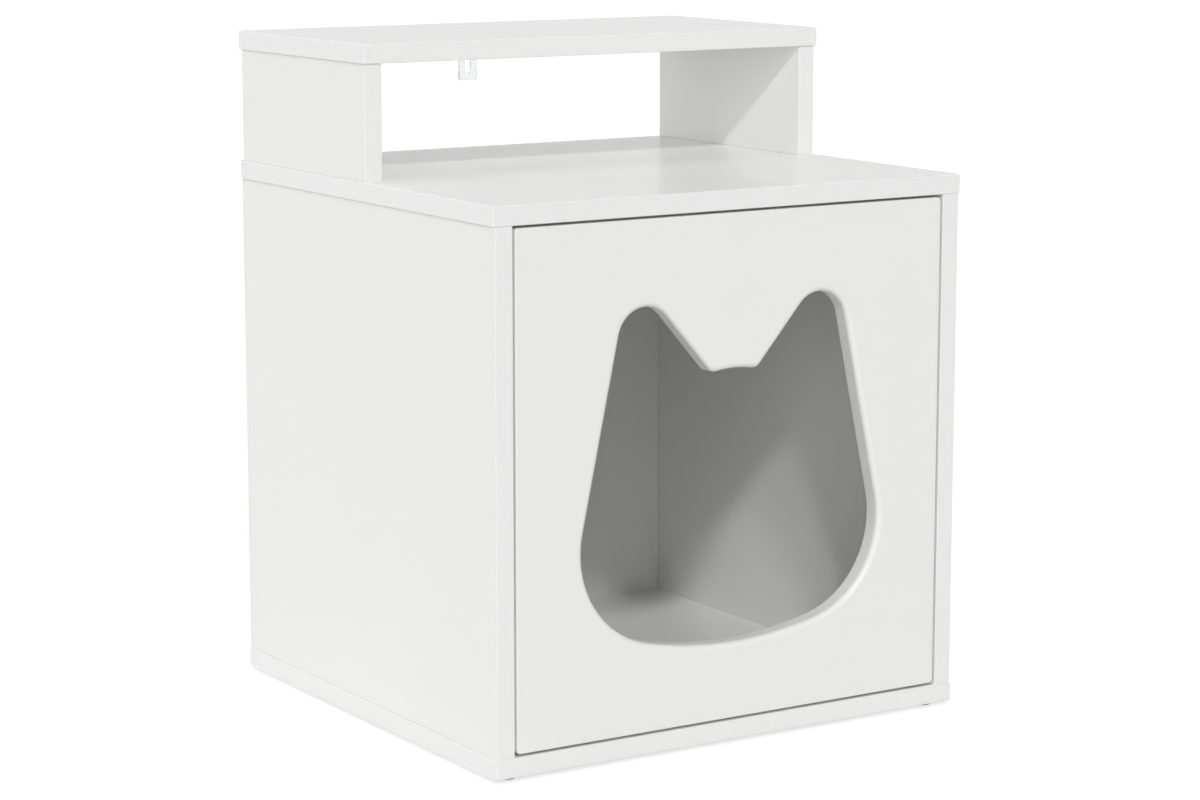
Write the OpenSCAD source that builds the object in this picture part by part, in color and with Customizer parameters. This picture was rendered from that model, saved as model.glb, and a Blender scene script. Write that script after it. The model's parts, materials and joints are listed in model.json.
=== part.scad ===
// Cat house with a raised shelf, as a flat-pack cabinet of coated boards.
// Millimetres. X runs left to right, the front faces -Y and Z points up.
// The origin is on the floor, under the middle of the cabinet.

/* [Cabinet] */
// Overall width
cab_w = 420; // [390:1:520]
// Overall depth
cab_d = 400; // [370:1:480]
// Height of the cabinet, from the base's underside to the lower top's upper face
cab_h = 420; // [410:1:520]
// Thickness of the boards
board_t = 15; // [15:1:18]
// How far the base and both tops stand out past the side boards
reveal = 1.25; // [0.5:0.25:4]
// Thickness of the back board
back_t = 3; // [2.5:0.5:5]
// Radius of the banded edges of the boards
edge_r = 0.8; // [0.4:0.1:1.5]

/* [Riser] */
// Height of the raised shelf's upper face above the lower top
riser_h = 104; // [85:1:160]
// Depth of the raised shelf, from the back
riser_d = 211; // [170:1:280]
// How far the riser's side boards stand back from the shelf's front edge
riser_setback = 2; // [0.5:0.5:8]

/* [Door] */
// Thickness of the door
door_t = 15; // [15:1:18]
// Gap between the door and the cabinet, all round
door_gap = 2; // [1.8:0.1:3]
// Radius of the door's four outer corners
door_corner_r = 3; // [2.5:0.5:12]
// Radius of the soft front edge round the door
door_soft_r = 2; // [0.5:0.5:4]

/* [Cat opening] */
// Width of the opening across the cheeks
cat_w = 270.5; // [250:0.5:285]
// Height of the opening, from the chin to the ear tips
cat_h = 262; // [245:1:280]
// Height of the chin above the cabinet's floor
chin_z = 61; // [40:1:75]
// Height of the widest point above the chin
cheek_h = 83; // [79:0.5:95]
// Radius of the cheeks
cheek_r = 76; // [60:1:78]
// Distance of the ear tips' centres from the middle
ear_x = 78.75; // [70:0.25:85]
// Radius of the ear tips
ear_r = 24.3; // [18:0.1:28]
// Height of the crown between the ears above the chin
crown_h = 210; // [195:1:220]
// Radius of the crown
crown_r = 91; // [60:1:140]
// Distance from the middle to the bends between crown and ears
crown_bend_x = 17.2; // [14:0.1:20]
// Radius of those bends
crown_bend_r = 8; // [7:0.5:12]
// Radius of the rounded lip round the opening
lip_r = 4.5; // [1:0.5:6]

/* [Feet] */
// Diameter of a foot
foot_d = 15; // [12:1:24]
// Height of a foot
foot_h = 3.5; // [2.5:0.5:8]
// Distance of a foot's centre from the cabinet's sides
foot_side_in = 17; // [13:1:40]
// Distance of a foot's centre from the cabinet's front and back
foot_front_in = 15; // [13:1:40]

/* [Fixings] */
// Diameter of the wooden dowels
dowel_d = 8; // [6:1:8]
// Length of the wooden dowels
dowel_l = 30; // [25:1:35]
// Depth of a dowel's hole in the face of a board
dowel_face_depth = 10; // [8:0.5:11]
// Distance of the side boards' dowels from their ends
dowel_in = 34; // [28:1:45]
// Distance of the side boards' screws and cams from their ends
fixing_in = 66; // [60:1:90]
// Distance of the riser's outer dowels from its ends
riser_dowel_in = 20; // [15:1:24]
// Distance of the riser's screws from its ends
riser_screw_in = 48; // [42:1:56]
// Length of the connecting screws under the head's face
screw_l = 50; // [40:1:55]
// Diameter of the cams
cam_d = 15; // [12:1:16]
// Depth of the cams
cam_depth = 12; // [11:0.5:12.5]
// Distance of the cams from the top ends of the side boards
cam_in = 34; // [30:1:40]
// Number of nails down each side of the back board
back_nail_count = 5; // [3:1:8]
// Clearance round dowels, screws and cams
fit = 0.15; // [0.1:0.05:0.25]

/* [Wall bracket] */
// Width of the wall bracket
bracket_w = 17; // [14:1:24]
// How far the bracket hangs below the raised shelf
bracket_drop = 33; // [28:1:45]
// Depth of the bracket's leg under the shelf
bracket_leg = 26; // [22:1:36]
// Thickness of the bracket
bracket_t = 2; // [1.5:0.5:3]
// Width of the slot for the wall screw
bracket_slot_w = 5; // [4:0.5:6]
// Length of the slot for the wall screw
bracket_slot_l = 17; // [12:1:20]
// Distance from the bracket's lower end to the slot
bracket_slot_in = 5.5; // [4:0.5:8]
// Distance of the bracket from the middle of the shelf, to the right
bracket_x = 2; // [-40:1:40]

/* [Hinges] */
// Distance of each hinge's middle from the door's top and bottom edges
hinge_in = 70; // [60:1:110]
// Diameter of the hinge cup
cup_d = 35; // [35:0.5:36]
// Depth of the hinge cup in the door
cup_depth = 12.3; // [12.1:0.1:12.4]
// Distance of the cup's centre from the door's edge
cup_in = 20.5; // [20.3:0.1:20.8]
// Thickness of the cup's flange
flange_t = 1.2; // [0.8:0.1:1.3]
// Distance between the cup's two screws
cup_screw_gap = 45; // [44:1:52]
// How far the cup's screws lie behind its centre
cup_screw_back = 9.5; // [8:0.5:11]
// Diameter of the links' pins
pin_d = 2; // [1.8:0.1:2]
// Distance of the mounting plate's screws from the door's back face
plate_in = 37; // [36:1:45]
// Distance between the mounting plate's two screws
plate_screw_gap = 32; // [30:1:40]

/* [Hidden] */
$fn = 48;
// Faces per round corner of a board and steps round a soft edge
corner_steps = 3;
soft_steps = 5;
// Overshoot of a cutting shape past the face that it cuts
cut = 1;

// Levels, from the floor up
base_z = foot_h;
floor_z = base_z + board_t;
top_z = base_z + cab_h;
under_top_z = top_z - board_t;
shelf_z = top_z + riser_h;
under_shelf_z = shelf_z - board_t;

// Planes across the depth
front_y = -cab_d / 2;
back_y = cab_d / 2;
side_back_y = back_y - back_t;
shelf_front_y = back_y - riser_d;
riser_front_y = shelf_front_y + riser_setback;

// Planes across the width
outer_x = cab_w / 2 - reveal;
inner_x = outer_x - board_t;
side_x = outer_x - board_t / 2;

// Heights of the upright boards
side_h = under_top_z - floor_z;
riser_side_h = under_shelf_z - top_z;

// The door
door_w = 2 * (inner_x - door_gap);
door_h = side_h - 2 * door_gap;
door_z = floor_z + door_gap;
door_back_y = front_y + door_t;
back_edge_r = 0.5;

// The cat opening, at growth 0, seen from the front
chin_level = floor_z + chin_z;
cheek_c = [cat_w / 2 - cheek_r, chin_level + cheek_h];
chin_r = (pow(cheek_c.x, 2) + pow(cheek_h, 2) - pow(cheek_r, 2)) / (2 * (cheek_h - cheek_r));
chin_c = [0, chin_level + chin_r];
ear_c = [ear_x, chin_level + cat_h - ear_r];
crown_c = [0, chin_level + crown_h - crown_r];
bend_c = crown_c + [crown_bend_x, sqrt(pow(crown_r + crown_bend_r, 2) - pow(crown_bend_x, 2))];

// Rows of fixings along the depth
side_dowel_ys = [front_y + dowel_in, side_back_y - dowel_in];
side_fixing_ys = [front_y + fixing_in, side_back_y - fixing_in];
riser_mid_y = (riser_front_y + side_back_y) / 2;
riser_dowel_ys = [riser_front_y + riser_dowel_in, side_back_y - riser_dowel_in];
riser_screw_ys = [riser_front_y + riser_screw_in, side_back_y - riser_screw_in];
shelf_dowel_ys = [riser_front_y + riser_dowel_in, riser_mid_y, side_back_y - riser_dowel_in];

// Dowels
dowel_hole_d = dowel_d + 2 * fit;
dowel_chamfer = 0.8;
// Room left at the blind end of every hole
end_gap = 0.5;

// Connecting screws with a countersunk head
screw_head_d = 10;
screw_head_h = 3.5;
screw_neck_d = 7;
screw_thread_d = 5;
screw_tip = 4;
screw_neck_l = board_t - 2;
screw_step = 1;
point_r = 0.3;

// Cams, their bolts and their caps
cam_bolt_d = 6;
cam_bolt_thread_d = 5;
cam_bolt_thread_l = 11;
cam_bolt_neck_d = 3.6;
cam_bolt_neck_l = 5.5;
cam_bolt_head_l = 4;
cam_bolt_l = cam_in - end_gap;
cam_bolt_bevel = 1;
cam_bolt_hole_d = cam_bolt_d + 4 * fit;
cam_bevel = 0.5;
cam_slot_w = 1.4;
cam_slot_depth = 1.6;
cam_cap_t = 1.1;
cam_cap_d = cam_d + 3;

// Nails of the back board and of the feet
nail_d = 1.6;
nail_l = 20;
nail_head_d = 4;
nail_head_t = 0.8;
back_nail_in = 30;
foot_nail_d = 2;
foot_nail_l = 11;
foot_nail_head_d = 5;
foot_nail_head_t = 1;
foot_dome = 0.8;

// Small wood screws with a pan head
wood_screw_d = 3.5;
pan_d = 6.6;
pan_h = 1.9;
pan_bevel = [0.8, 0.6];
bracket_screw_l = 11;
bracket_corner_r = 2;
plate_screw_l = 12;
cup_screw_l = 10;

// Hinge pivots, seen from above: [towards the side board, inwards from the door's back face],
// counted from the side board's inner face and the door's back face, door closed
arm_pivot_outer = [-17.5, 0.2];
arm_pivot_inner = [-16.8, -6];
cup_pivot_outer = [-19.4, -9.2];
cup_pivot_inner = [-25.6, -9.05];
// Knees of the two bent links
outer_knee = [-22.9, -6.05];
inner_knee = [-20.25, -4.3];
// Radii of the links' eyes and half the width of their bars
eye_r = 2.1;
bar_r = 1.4;
pin_play = 0.06;
open_pivot_play = 0.45;
// Layers along a hinge's pins, each from its middle
inner_link_half = 1.8;
outer_link_in = 2.1;
outer_link_out = 3.4;
cheek_in = 3.7;
cheek_out = 5;
rib_in = 5.3;
rib_out = 7.3;
// The cup
cup_x = -door_gap - cup_in;
cup_wall = 0.8;
cup_fit = 0.1;
cup_r = cup_d / 2 - cup_fit;
flange_r = cup_d / 2 + 1.5;
flange_ear_r = 6;
flange_waist = [10, 14];
rib_h = 5;
rib_side = 2.4;
// The arm
web_t = 1.3;
arm_web_x = -9.3;
arm_back_x = -3.4;
arm_tail_y = plate_in + 23;
arm_screw_ys = [plate_in - 6, plate_in + 11];
arm_screw_bite = 4;
arm_screw_d = 4;
arm_screw_head_d = 6.4;
arm_screw_head_h = 1.8;
// The mounting plate
plate_t = 2.2;
ridge_half = 3.4;
ridge_y0 = plate_in - 12;
ridge_y1 = plate_in + 20;
plate_margin = 2;
wing_r = 6;
// Outer edge of the arm's neck, from its nose to the tail
neck_back = [
    [-20.2, -3.2], [-29.5, -2.8], [-33.6, -0.6], [-35.2, 4.5], [-34, 10.5],
    [-28.5, 15], [-15, 18.4], [-10.6, 20.6], [arm_web_x, 24], [arm_web_x, arm_tail_y]
];
// Inner edge of the neck, round the room that the door's edge swings into
neck_room = [
    [arm_back_x, arm_tail_y], [arm_back_x, 16], [-6, 12.2], [-18, 11],
    [-26.5, 9.4], [-30.3, 6.2], [-30.7, 3.6], [-28.8, 1.6]
];
// First point of the outer edge that the web follows
web_start = 3;

hinge_zs = [door_z + hinge_in, door_z + door_h - hinge_in];

board_colour = [0.93, 0.93, 0.92];
door_colour = [0.92, 0.92, 0.91];
steel_colour = [0.78, 0.79, 0.8];
plastic_colour = [0.9, 0.9, 0.88];
wood_colour = [0.82, 0.68, 0.48];
foot_colour = [0.12, 0.12, 0.12];
clear_colour = [0.85, 0.91, 0.96, 0.5];

// Points of an arc about c, from angle a0 to a1 in n steps, leaving out the first skip points
function arc(c, r, a0, a1, n, skip = 0) =
    [for (i = [skip:n]) c + r * [cos(a0 + (a1 - a0) * i / n), sin(a0 + (a1 - a0) * i / n)]];

// Corners of a w by h rectangle about the origin, with round corners
function round_rect(w, h, r, n) =
    [for (k = [0:3])
        let (sx = (k == 0 || k == 3) ? 1 : -1, sy = k < 2 ? 1 : -1)
        each arc([sx * (w / 2 - r), sy * (h / 2 - r)], r, 90 * k, 90 * k + 90, n)];

// One half of the cat's head, from the chin to the crown, grown outwards by g
function cat_half(g) =
    let (
        chin_a = atan2(cheek_c.y - chin_c.y, cheek_c.x),
        up = ear_c - cheek_c,
        side_a = atan2(up.y, up.x) - 90 + asin((cheek_r - ear_r) / norm(up)),
        over = ear_c - bend_c,
        ear_a = 180 + atan2(over.y, over.x) - acos((ear_r + crown_bend_r) / norm(over)),
        crown_a = atan2(bend_c.y - crown_c.y, bend_c.x)
    )
    concat(
        arc(chin_c, chin_r + g, -90, chin_a, 8),
        arc(cheek_c, cheek_r + g, chin_a, side_a, 16, 1),
        arc(ear_c, ear_r + g, side_a, ear_a, 14),
        arc(bend_c, crown_bend_r - g, ear_a - 180, crown_a - 180, 6),
        arc(crown_c, crown_r + g, crown_a, 90, 3, 1)
    );

// The whole outline of the cat's head
function cat_outline(g) =
    let (half = cat_half(g))
    concat(half, [for (i = [len(half) - 2:-1:1]) [-half[i].x, half[i].y]]);

// A closed skin through rings that all have the same number of points
module loft(rings) {
    n = len(rings[0]);
    last = (len(rings) - 1) * n;
    walls = [for (k = [0:len(rings) - 2], i = [0:n - 1])
        let (j = (i + 1) % n)
        [k * n + i, (k + 1) * n + i, (k + 1) * n + j, k * n + j]];
    ends = [[for (i = [0:n - 1]) i], [for (i = [n - 1:-1:0]) last + i]];
    polyhedron(points = [for (r = rings) each r], faces = concat(walls, ends));
}

// A flat outline put at height z
function at_z(outline, z) = [for (p = outline) [p.x, p.y, z]];

// A board lying flat with all four edges banded
module flat_board(w, d, t) {
    intersection() {
        rotate([90, 0, 0])
            linear_extrude(d, center = true)
                polygon(round_rect(w, t, edge_r, corner_steps));
        rotate([90, 0, 90])
            linear_extrude(w, center = true)
                polygon(round_rect(d, t, edge_r, corner_steps));
    }
}

// A board standing on edge, from y0 to y1 and z0 up, with its upright edges banded
module upright_board(x, y0, y1, z0, h) {
    translate([x, (y0 + y1) / 2, z0])
        linear_extrude(h)
            polygon(round_rect(board_t, y1 - y0, edge_r, corner_steps));
}

// A turned piece about Z from its half profile
module turned(profile) {
    rotate_extrude()
        polygon(profile);
}

// A hole about Z, from z0 up
module hole(d, z0, l) {
    translate([0, 0, z0])
        cylinder(d = d, h = l);
}

module dowel() {
    turned([
        [0, 0],
        [dowel_d / 2 - dowel_chamfer, 0],
        [dowel_d / 2, dowel_chamfer],
        [dowel_d / 2, dowel_l - dowel_chamfer],
        [dowel_d / 2 - dowel_chamfer, dowel_l],
        [0, dowel_l]
    ]);
}

// Places at each side board or riser side, for a list of depths
module at_sides(ys, z) {
    for (s = [-1, 1], y = ys)
        translate([s * side_x, y, z])
            children();
}

// A connecting screw pointing up, its head's face at height 0
module connecting_screw() {
    turned([
        [0, 0],
        [screw_head_d / 2, 0],
        [screw_neck_d / 2, screw_head_h],
        [screw_neck_d / 2, screw_neck_l],
        [screw_thread_d / 2, screw_neck_l + screw_step],
        [screw_thread_d / 2, screw_l - screw_tip],
        [point_r, screw_l],
        [0, screw_l]
    ]);
}

// The stepped hole for a connecting screw through a board that starts at height 0
module connecting_hole() {
    turned([
        [0, -cut],
        [screw_head_d / 2 + fit, -cut],
        [screw_head_d / 2 + fit, 0],
        [screw_neck_d / 2 + fit, screw_head_h],
        [screw_neck_d / 2 + fit, board_t + cut],
        [0, board_t + cut]
    ]);
}

// The hole for the same screw's thread in the end of the next board
module connecting_pilot() {
    hole(screw_thread_d + 2 * fit, -cut, screw_l - board_t + cut + end_gap);
}

// A cam bolt hanging down from height 0, with its thread in the board above
module cam_bolt() {
    shank_end = cam_bolt_l - cam_bolt_head_l - cam_bolt_neck_l;
    turned([
        [0, -cam_bolt_l],
        [cam_bolt_d / 2 - cam_bolt_bevel, -cam_bolt_l],
        [cam_bolt_d / 2, cam_bolt_bevel - cam_bolt_l],
        [cam_bolt_d / 2, cam_bolt_head_l - cam_bolt_bevel - cam_bolt_l],
        [cam_bolt_neck_d / 2, cam_bolt_head_l - cam_bolt_l],
        [cam_bolt_neck_d / 2, -shank_end - cam_bolt_bevel],
        [cam_bolt_d / 2, -shank_end],
        [cam_bolt_d / 2, 0],
        [cam_bolt_thread_d / 2, 0],
        [cam_bolt_thread_d / 2, cam_bolt_thread_l - cam_bolt_bevel],
        [cam_bolt_thread_d / 2 - cam_bolt_bevel, cam_bolt_thread_l],
        [0, cam_bolt_thread_l]
    ]);
}

// A cam about Z with its screwdriver face at height 0 and its body above it
module cam() {
    difference() {
        turned([
            [0, 0],
            [cam_d / 2 - cam_bevel, 0],
            [cam_d / 2, cam_bevel],
            [cam_d / 2, cam_depth],
            [0, cam_depth]
        ]);
        for (a = [0, 90])
            rotate(a)
                translate([-cam_d / 4, -cam_slot_w / 2, -cut])
                    cube([cam_d / 2, cam_slot_w, cut + cam_slot_depth]);
        translate([0, 0, board_t / 2])
            rotate([-90, 0, 0])
                cylinder(d = cam_bolt_hole_d, h = cam_d);
    }
}

// Puts a cam's axis across a side board, from its inner face outwards, bolt channel up
module at_cams() {
    for (s = [-1, 1], y = side_fixing_ys)
        translate([s * inner_x, y, under_top_z - cam_in])
            rotate([90, 0, s * 90])
                children();
}

module cam_cap() {
    turned([
        [0, 0],
        [cam_cap_d / 2, 0],
        [cam_cap_d / 2, -cam_cap_t / 3],
        [cam_cap_d / 2 - cam_cap_t, -cam_cap_t],
        [0, -cam_cap_t]
    ]);
}

// Holes that both side boards share, for the right board
module side_board_holes() {
    for (y = side_dowel_ys)
        translate([side_x, y, 0]) {
            hole(dowel_hole_d, floor_z - cut, dowel_l - dowel_face_depth + end_gap + cut);
            hole(dowel_hole_d, under_top_z - dowel_l + dowel_face_depth - end_gap, dowel_l);
        }
    for (y = side_fixing_ys) {
        translate([side_x, y, floor_z])
            connecting_pilot();
        translate([side_x, y, 0])
            hole(cam_bolt_hole_d, under_top_z - cam_in, cam_in + cut);
        translate([inner_x - cut, y, under_top_z - cam_in])
            rotate([0, 90, 0])
                cylinder(d = cam_d + 2 * fit, h = cam_depth + fit + cut);
    }
    for (z = back_nail_zs())
        translate([side_x, side_back_y + cut, z])
            rotate([90, 0, 0])
                cylinder(d = nail_d + fit, h = nail_l - back_t + end_gap + cut);
}

module side_panel() {
    color(board_colour)
        difference() {
            upright_board(side_x, front_y, side_back_y, floor_z, side_h);
            side_board_holes();
            children();
        }
}

module left_side_panel() {
    mirror([1, 0, 0])
        side_panel();
}

module right_side_panel() {
    side_panel()
        for (z = hinge_zs, s = [-1, 1])
            translate([inner_x - cut, door_back_y + plate_in, z + s * plate_screw_gap / 2])
                rotate([0, 90, 0])
                    cylinder(d = wood_screw_d + fit, h = plate_screw_l - plate_t + end_gap + cut);
}

module base_panel() {
    color(board_colour)
        difference() {
            translate([0, 0, base_z + board_t / 2])
                flat_board(cab_w, cab_d, board_t);
            at_sides(side_dowel_ys, floor_z - dowel_face_depth - end_gap)
                hole(dowel_hole_d, 0, dowel_l);
            at_sides(side_fixing_ys, base_z)
                connecting_hole();
            for (p = foot_places())
                translate([p.x, p.y, base_z - cut])
                    cylinder(d = foot_nail_d + fit, h = foot_nail_l + cut);
        }
}

module top_panel() {
    color(board_colour)
        difference() {
            translate([0, 0, top_z - board_t / 2])
                flat_board(cab_w, cab_d, board_t);
            at_sides(side_dowel_ys, under_top_z - cut)
                hole(dowel_hole_d, 0, dowel_face_depth + end_gap + cut);
            at_sides(side_fixing_ys, under_top_z - cut)
                hole(cam_bolt_thread_d + 2 * fit, 0, cam_bolt_thread_l + fit + cut);
            at_sides(riser_dowel_ys, top_z - dowel_face_depth - end_gap)
                hole(dowel_hole_d, 0, dowel_l);
            at_sides(riser_screw_ys, under_top_z)
                connecting_hole();
        }
}

module riser_side() {
    color(board_colour)
        difference() {
            upright_board(side_x, riser_front_y, side_back_y, top_z, riser_side_h);
            for (y = riser_dowel_ys)
                translate([side_x, y, top_z - cut])
                    hole(dowel_hole_d, 0, dowel_l - dowel_face_depth + end_gap + cut);
            for (y = riser_screw_ys)
                translate([side_x, y, top_z])
                    connecting_pilot();
            for (y = shelf_dowel_ys)
                translate([side_x, y, under_shelf_z - dowel_l + dowel_face_depth - end_gap])
                    hole(dowel_hole_d, 0, dowel_l);
        }
}

module riser_left_side() {
    mirror([1, 0, 0])
        riser_side();
}

module riser_right_side() {
    riser_side();
}

module riser_shelf() {
    color(board_colour)
        difference() {
            translate([0, (shelf_front_y + back_y) / 2, shelf_z - board_t / 2])
                flat_board(cab_w, riser_d, board_t);
            at_sides(shelf_dowel_ys, under_shelf_z - cut)
                hole(dowel_hole_d, 0, dowel_face_depth + end_gap + cut);
            translate([bracket_x, back_y - bracket_leg / 2 - bracket_t, under_shelf_z - cut])
                hole(wood_screw_d + fit, 0, bracket_screw_l - bracket_t + end_gap + cut);
        }
}

// Heights of the nails down the back board
function back_nail_zs() =
    [for (i = [0:back_nail_count - 1])
        floor_z + back_nail_in + i * (side_h - 2 * back_nail_in) / (back_nail_count - 1)];

// Middles of the four feet
function foot_places() =
    [for (sy = [-1, 1], sx = [-1, 1])
        [sx * (cab_w / 2 - foot_side_in), sy * (cab_d / 2 - foot_front_in)]];

module back_panel() {
    color(board_colour)
        difference() {
            translate([-outer_x, side_back_y, floor_z])
                cube([2 * outer_x, back_t, side_h]);
            for (s = [-1, 1], z = back_nail_zs())
                translate([s * side_x, back_y, z])
                    rotate([90, 0, 0]) {
                        cylinder(d = nail_d + fit, h = back_t + cut);
                        translate([0, 0, -cut])
                            cylinder(d = nail_head_d + 2 * fit, h = nail_head_t + cut);
                    }
        }
}

module back_nails() {
    color(steel_colour)
        for (s = [-1, 1], z = back_nail_zs())
            translate([s * side_x, back_y, z])
                rotate([90, 0, 0])
                    turned([
                        [0, 0],
                        [nail_head_d / 2, 0],
                        [nail_head_d / 2, nail_head_t],
                        [nail_d / 2, nail_head_t],
                        [nail_d / 2, nail_l - nail_d],
                        [0, nail_l]
                    ]);
}

module base_dowels() {
    color(wood_colour)
        at_sides(side_dowel_ys, floor_z - dowel_face_depth)
            dowel();
}

module top_dowels() {
    color(wood_colour)
        at_sides(side_dowel_ys, under_top_z - dowel_l + dowel_face_depth)
            dowel();
}

module riser_dowels() {
    color(wood_colour)
        at_sides(riser_dowel_ys, top_z - dowel_face_depth)
            dowel();
}

module shelf_dowels() {
    color(wood_colour)
        at_sides(shelf_dowel_ys, under_shelf_z - dowel_l + dowel_face_depth)
            dowel();
}

module base_screws() {
    color(steel_colour)
        at_sides(side_fixing_ys, base_z)
            connecting_screw();
}

module riser_screws() {
    color(steel_colour)
        at_sides(riser_screw_ys, under_top_z)
            connecting_screw();
}

module cam_bolts() {
    color(steel_colour)
        at_sides(side_fixing_ys, under_top_z)
            cam_bolt();
}

module cam_locks() {
    color(steel_colour)
        at_cams()
            cam();
}

module cam_caps() {
    color(plastic_colour)
        at_cams()
            cam_cap();
}

// A round glide with a domed sole, its nail's head let into the sole
module foot(i) {
    p = foot_places()[i];
    color(foot_colour)
        translate([p.x, p.y, 0])
            difference() {
                turned([
                    [0, 0],
                    [foot_d / 2 - 2 * foot_dome, 0],
                    [foot_d / 2 - foot_dome / 2, foot_dome / 2],
                    [foot_d / 2, foot_dome * 1.5],
                    [foot_d / 2, foot_h],
                    [0, foot_h]
                ]);
                hole(foot_nail_d + fit, -cut, foot_h + 2 * cut);
                hole(foot_nail_head_d + 2 * fit, -cut, foot_nail_head_t + foot_dome / 2 + cut);
            }
}

module foot_nails() {
    color(steel_colour)
        for (p = foot_places())
            translate([p.x, p.y, foot_dome / 2])
                turned([
                    [0, 0],
                    [foot_nail_head_d / 2, 0],
                    [foot_nail_head_d / 2, foot_nail_head_t],
                    [foot_nail_d / 2, foot_nail_head_t],
                    [foot_nail_d / 2, foot_nail_l - foot_nail_d],
                    [0, foot_nail_l]
                ]);
}

// A pan-head wood screw pointing up, the head's seat at height 0
module pan_screw(l, d = wood_screw_d, head_d = pan_d, head_h = pan_h) {
    turned([
        [0, -head_h],
        [head_d / 2 - pan_bevel.x, -head_h],
        [head_d / 2, pan_bevel.y - head_h],
        [head_d / 2, 0],
        [d / 2, 0],
        [d / 2, l - d / 2],
        [point_r, l],
        [0, l]
    ]);
}

// A clear angle with a slot for the wall screw
module wall_bracket() {
    slot_z = under_shelf_z - bracket_drop + bracket_slot_in;
    color(clear_colour)
        difference() {
            union() {
                translate([bracket_x, back_y, under_shelf_z - bracket_drop / 2])
                    rotate([90, 0, 0])
                        linear_extrude(bracket_t)
                            polygon(round_rect(bracket_w, bracket_drop, bracket_corner_r, 4));
                translate([bracket_x, back_y - bracket_leg / 2, under_shelf_z - bracket_t])
                    linear_extrude(bracket_t)
                        polygon(round_rect(bracket_w, bracket_leg, bracket_corner_r, 4));
                translate([bracket_x - bracket_w / 2, back_y - bracket_t, under_shelf_z - bracket_t])
                    cube([bracket_w, bracket_t, bracket_t]);
            }
            translate([bracket_x, back_y - bracket_leg / 2 - bracket_t, under_shelf_z - bracket_t - cut])
                cylinder(d = wood_screw_d + 2 * fit, h = bracket_t + 2 * cut);
            translate([bracket_x, back_y + cut, 0])
                rotate([90, 0, 0])
                    linear_extrude(bracket_t + 2 * cut) {
                        for (z = [bracket_slot_w / 2, bracket_slot_l - bracket_slot_w / 2])
                            translate([0, slot_z + z])
                                circle(d = bracket_slot_w);
                        translate([-bracket_slot_w / 2, slot_z + bracket_slot_w / 2])
                            square([bracket_slot_w, bracket_slot_l - bracket_slot_w]);
                    }
        }
}

module wall_bracket_screw() {
    color(steel_colour)
        translate([bracket_x, back_y - bracket_leg / 2 - bracket_t, under_shelf_z - bracket_t])
            pan_screw(bracket_screw_l);
}

// The door's outline pulled in by inset, at depth d behind its front face
function door_ring(inset, d) =
    let (w = door_w - 2 * inset, h = door_h - 2 * inset, r = max(door_corner_r - inset, back_edge_r))
    [for (p = round_rect(w, h, r, 4)) [p.x, p.y + door_z + door_h / 2, -d]];

// Inset and depth of a rounded edge of radius r, from the flat wall to the front face
function soft_edge(r) =
    [for (i = [0:soft_steps])
        let (a = 90 * (1 - i / soft_steps))
        [r * (1 - sin(a)), r * (1 - cos(a))]];

module door_slab() {
    rings = concat(
        [door_ring(back_edge_r, door_t), door_ring(0, door_t - back_edge_r)],
        [for (e = soft_edge(door_soft_r)) door_ring(e[0], e[1])]
    );
    loft(rings);
}

// The cat-shaped hole with its rounded front lip
module cat_cutter() {
    rings = concat(
        [at_z(cat_outline(0), -door_t - cut)],
        [for (e = soft_edge(lip_r)) at_z(cat_outline(e[0]), -e[1])],
        [at_z(cat_outline(lip_r), cut)]
    );
    loft(rings);
}

module door_panel() {
    color(door_colour)
        difference() {
            translate([0, front_y, 0])
                rotate([90, 0, 0])
                    difference() {
                        door_slab();
                        cat_cutter();
                    }
            for (z = hinge_zs)
                at_hinge(z) {
                    translate([cup_x, cut, 0])
                        rotate([90, 0, 0])
                            cylinder(d = cup_d, h = cup_depth + cup_fit + cut, $fn = 96);
                    for (s = [-1, 1])
                        translate([cup_x - cup_screw_back, cut, s * cup_screw_gap / 2])
                            rotate([90, 0, 0])
                                cylinder(d = wood_screw_d + fit, h = cup_screw_l - flange_t + 2 * fit + cut);
                }
        }
}

// A hinge's own frame: X towards the side board, Y inwards from the door's back face
module at_hinge(z) {
    translate([inner_x, door_back_y, z])
        children();
}

// A pin along Z through p
module pin(p, half) {
    translate([p.x, p.y, -half])
        cylinder(d = pin_d, h = 2 * half);
}

// The cup: a turned pot with a flange, two screw ears and two ribs that hold the pins
module hinge_cup(z) {
    rib_t = rib_out - rib_in;
    rib_w = cup_pivot_outer.x - cup_pivot_inner.x + 2 * rib_side;
    color(steel_colour)
        at_hinge(z)
            difference() {
                union() {
                    translate([cup_x, 0, 0])
                        rotate([90, 0, 0])
                            cup_pot();
                    for (z0 = [rib_in, -rib_out])
                        translate([cup_pivot_inner.x - rib_side, cup_wall - cup_depth, z0])
                            cube([rib_w, rib_h, rib_t]);
                }
                for (p = [cup_pivot_outer, cup_pivot_inner])
                    translate([p.x, p.y, -rib_out - fit])
                        cylinder(d = pin_d + pin_play, h = 2 * (rib_out + fit));
                for (s = [-1, 1])
                    translate([cup_x - cup_screw_back, -cut, s * cup_screw_gap / 2])
                        rotate([-90, 0, 0])
                            cylinder(d = wood_screw_d + 2 * fit, h = flange_t + 2 * cut);
            }
}

// The pot with its flange, sunk from height 0 upwards
module cup_pot() {
    difference() {
        union() {
            cylinder(r = cup_r, h = cup_depth, $fn = 96);
            translate([0, 0, -flange_t])
                flange();
        }
        translate([0, 0, -flange_t - cut])
            cylinder(r = cup_r - cup_wall, h = flange_t + cut + cup_depth - cup_wall, $fn = 96);
    }
}

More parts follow.
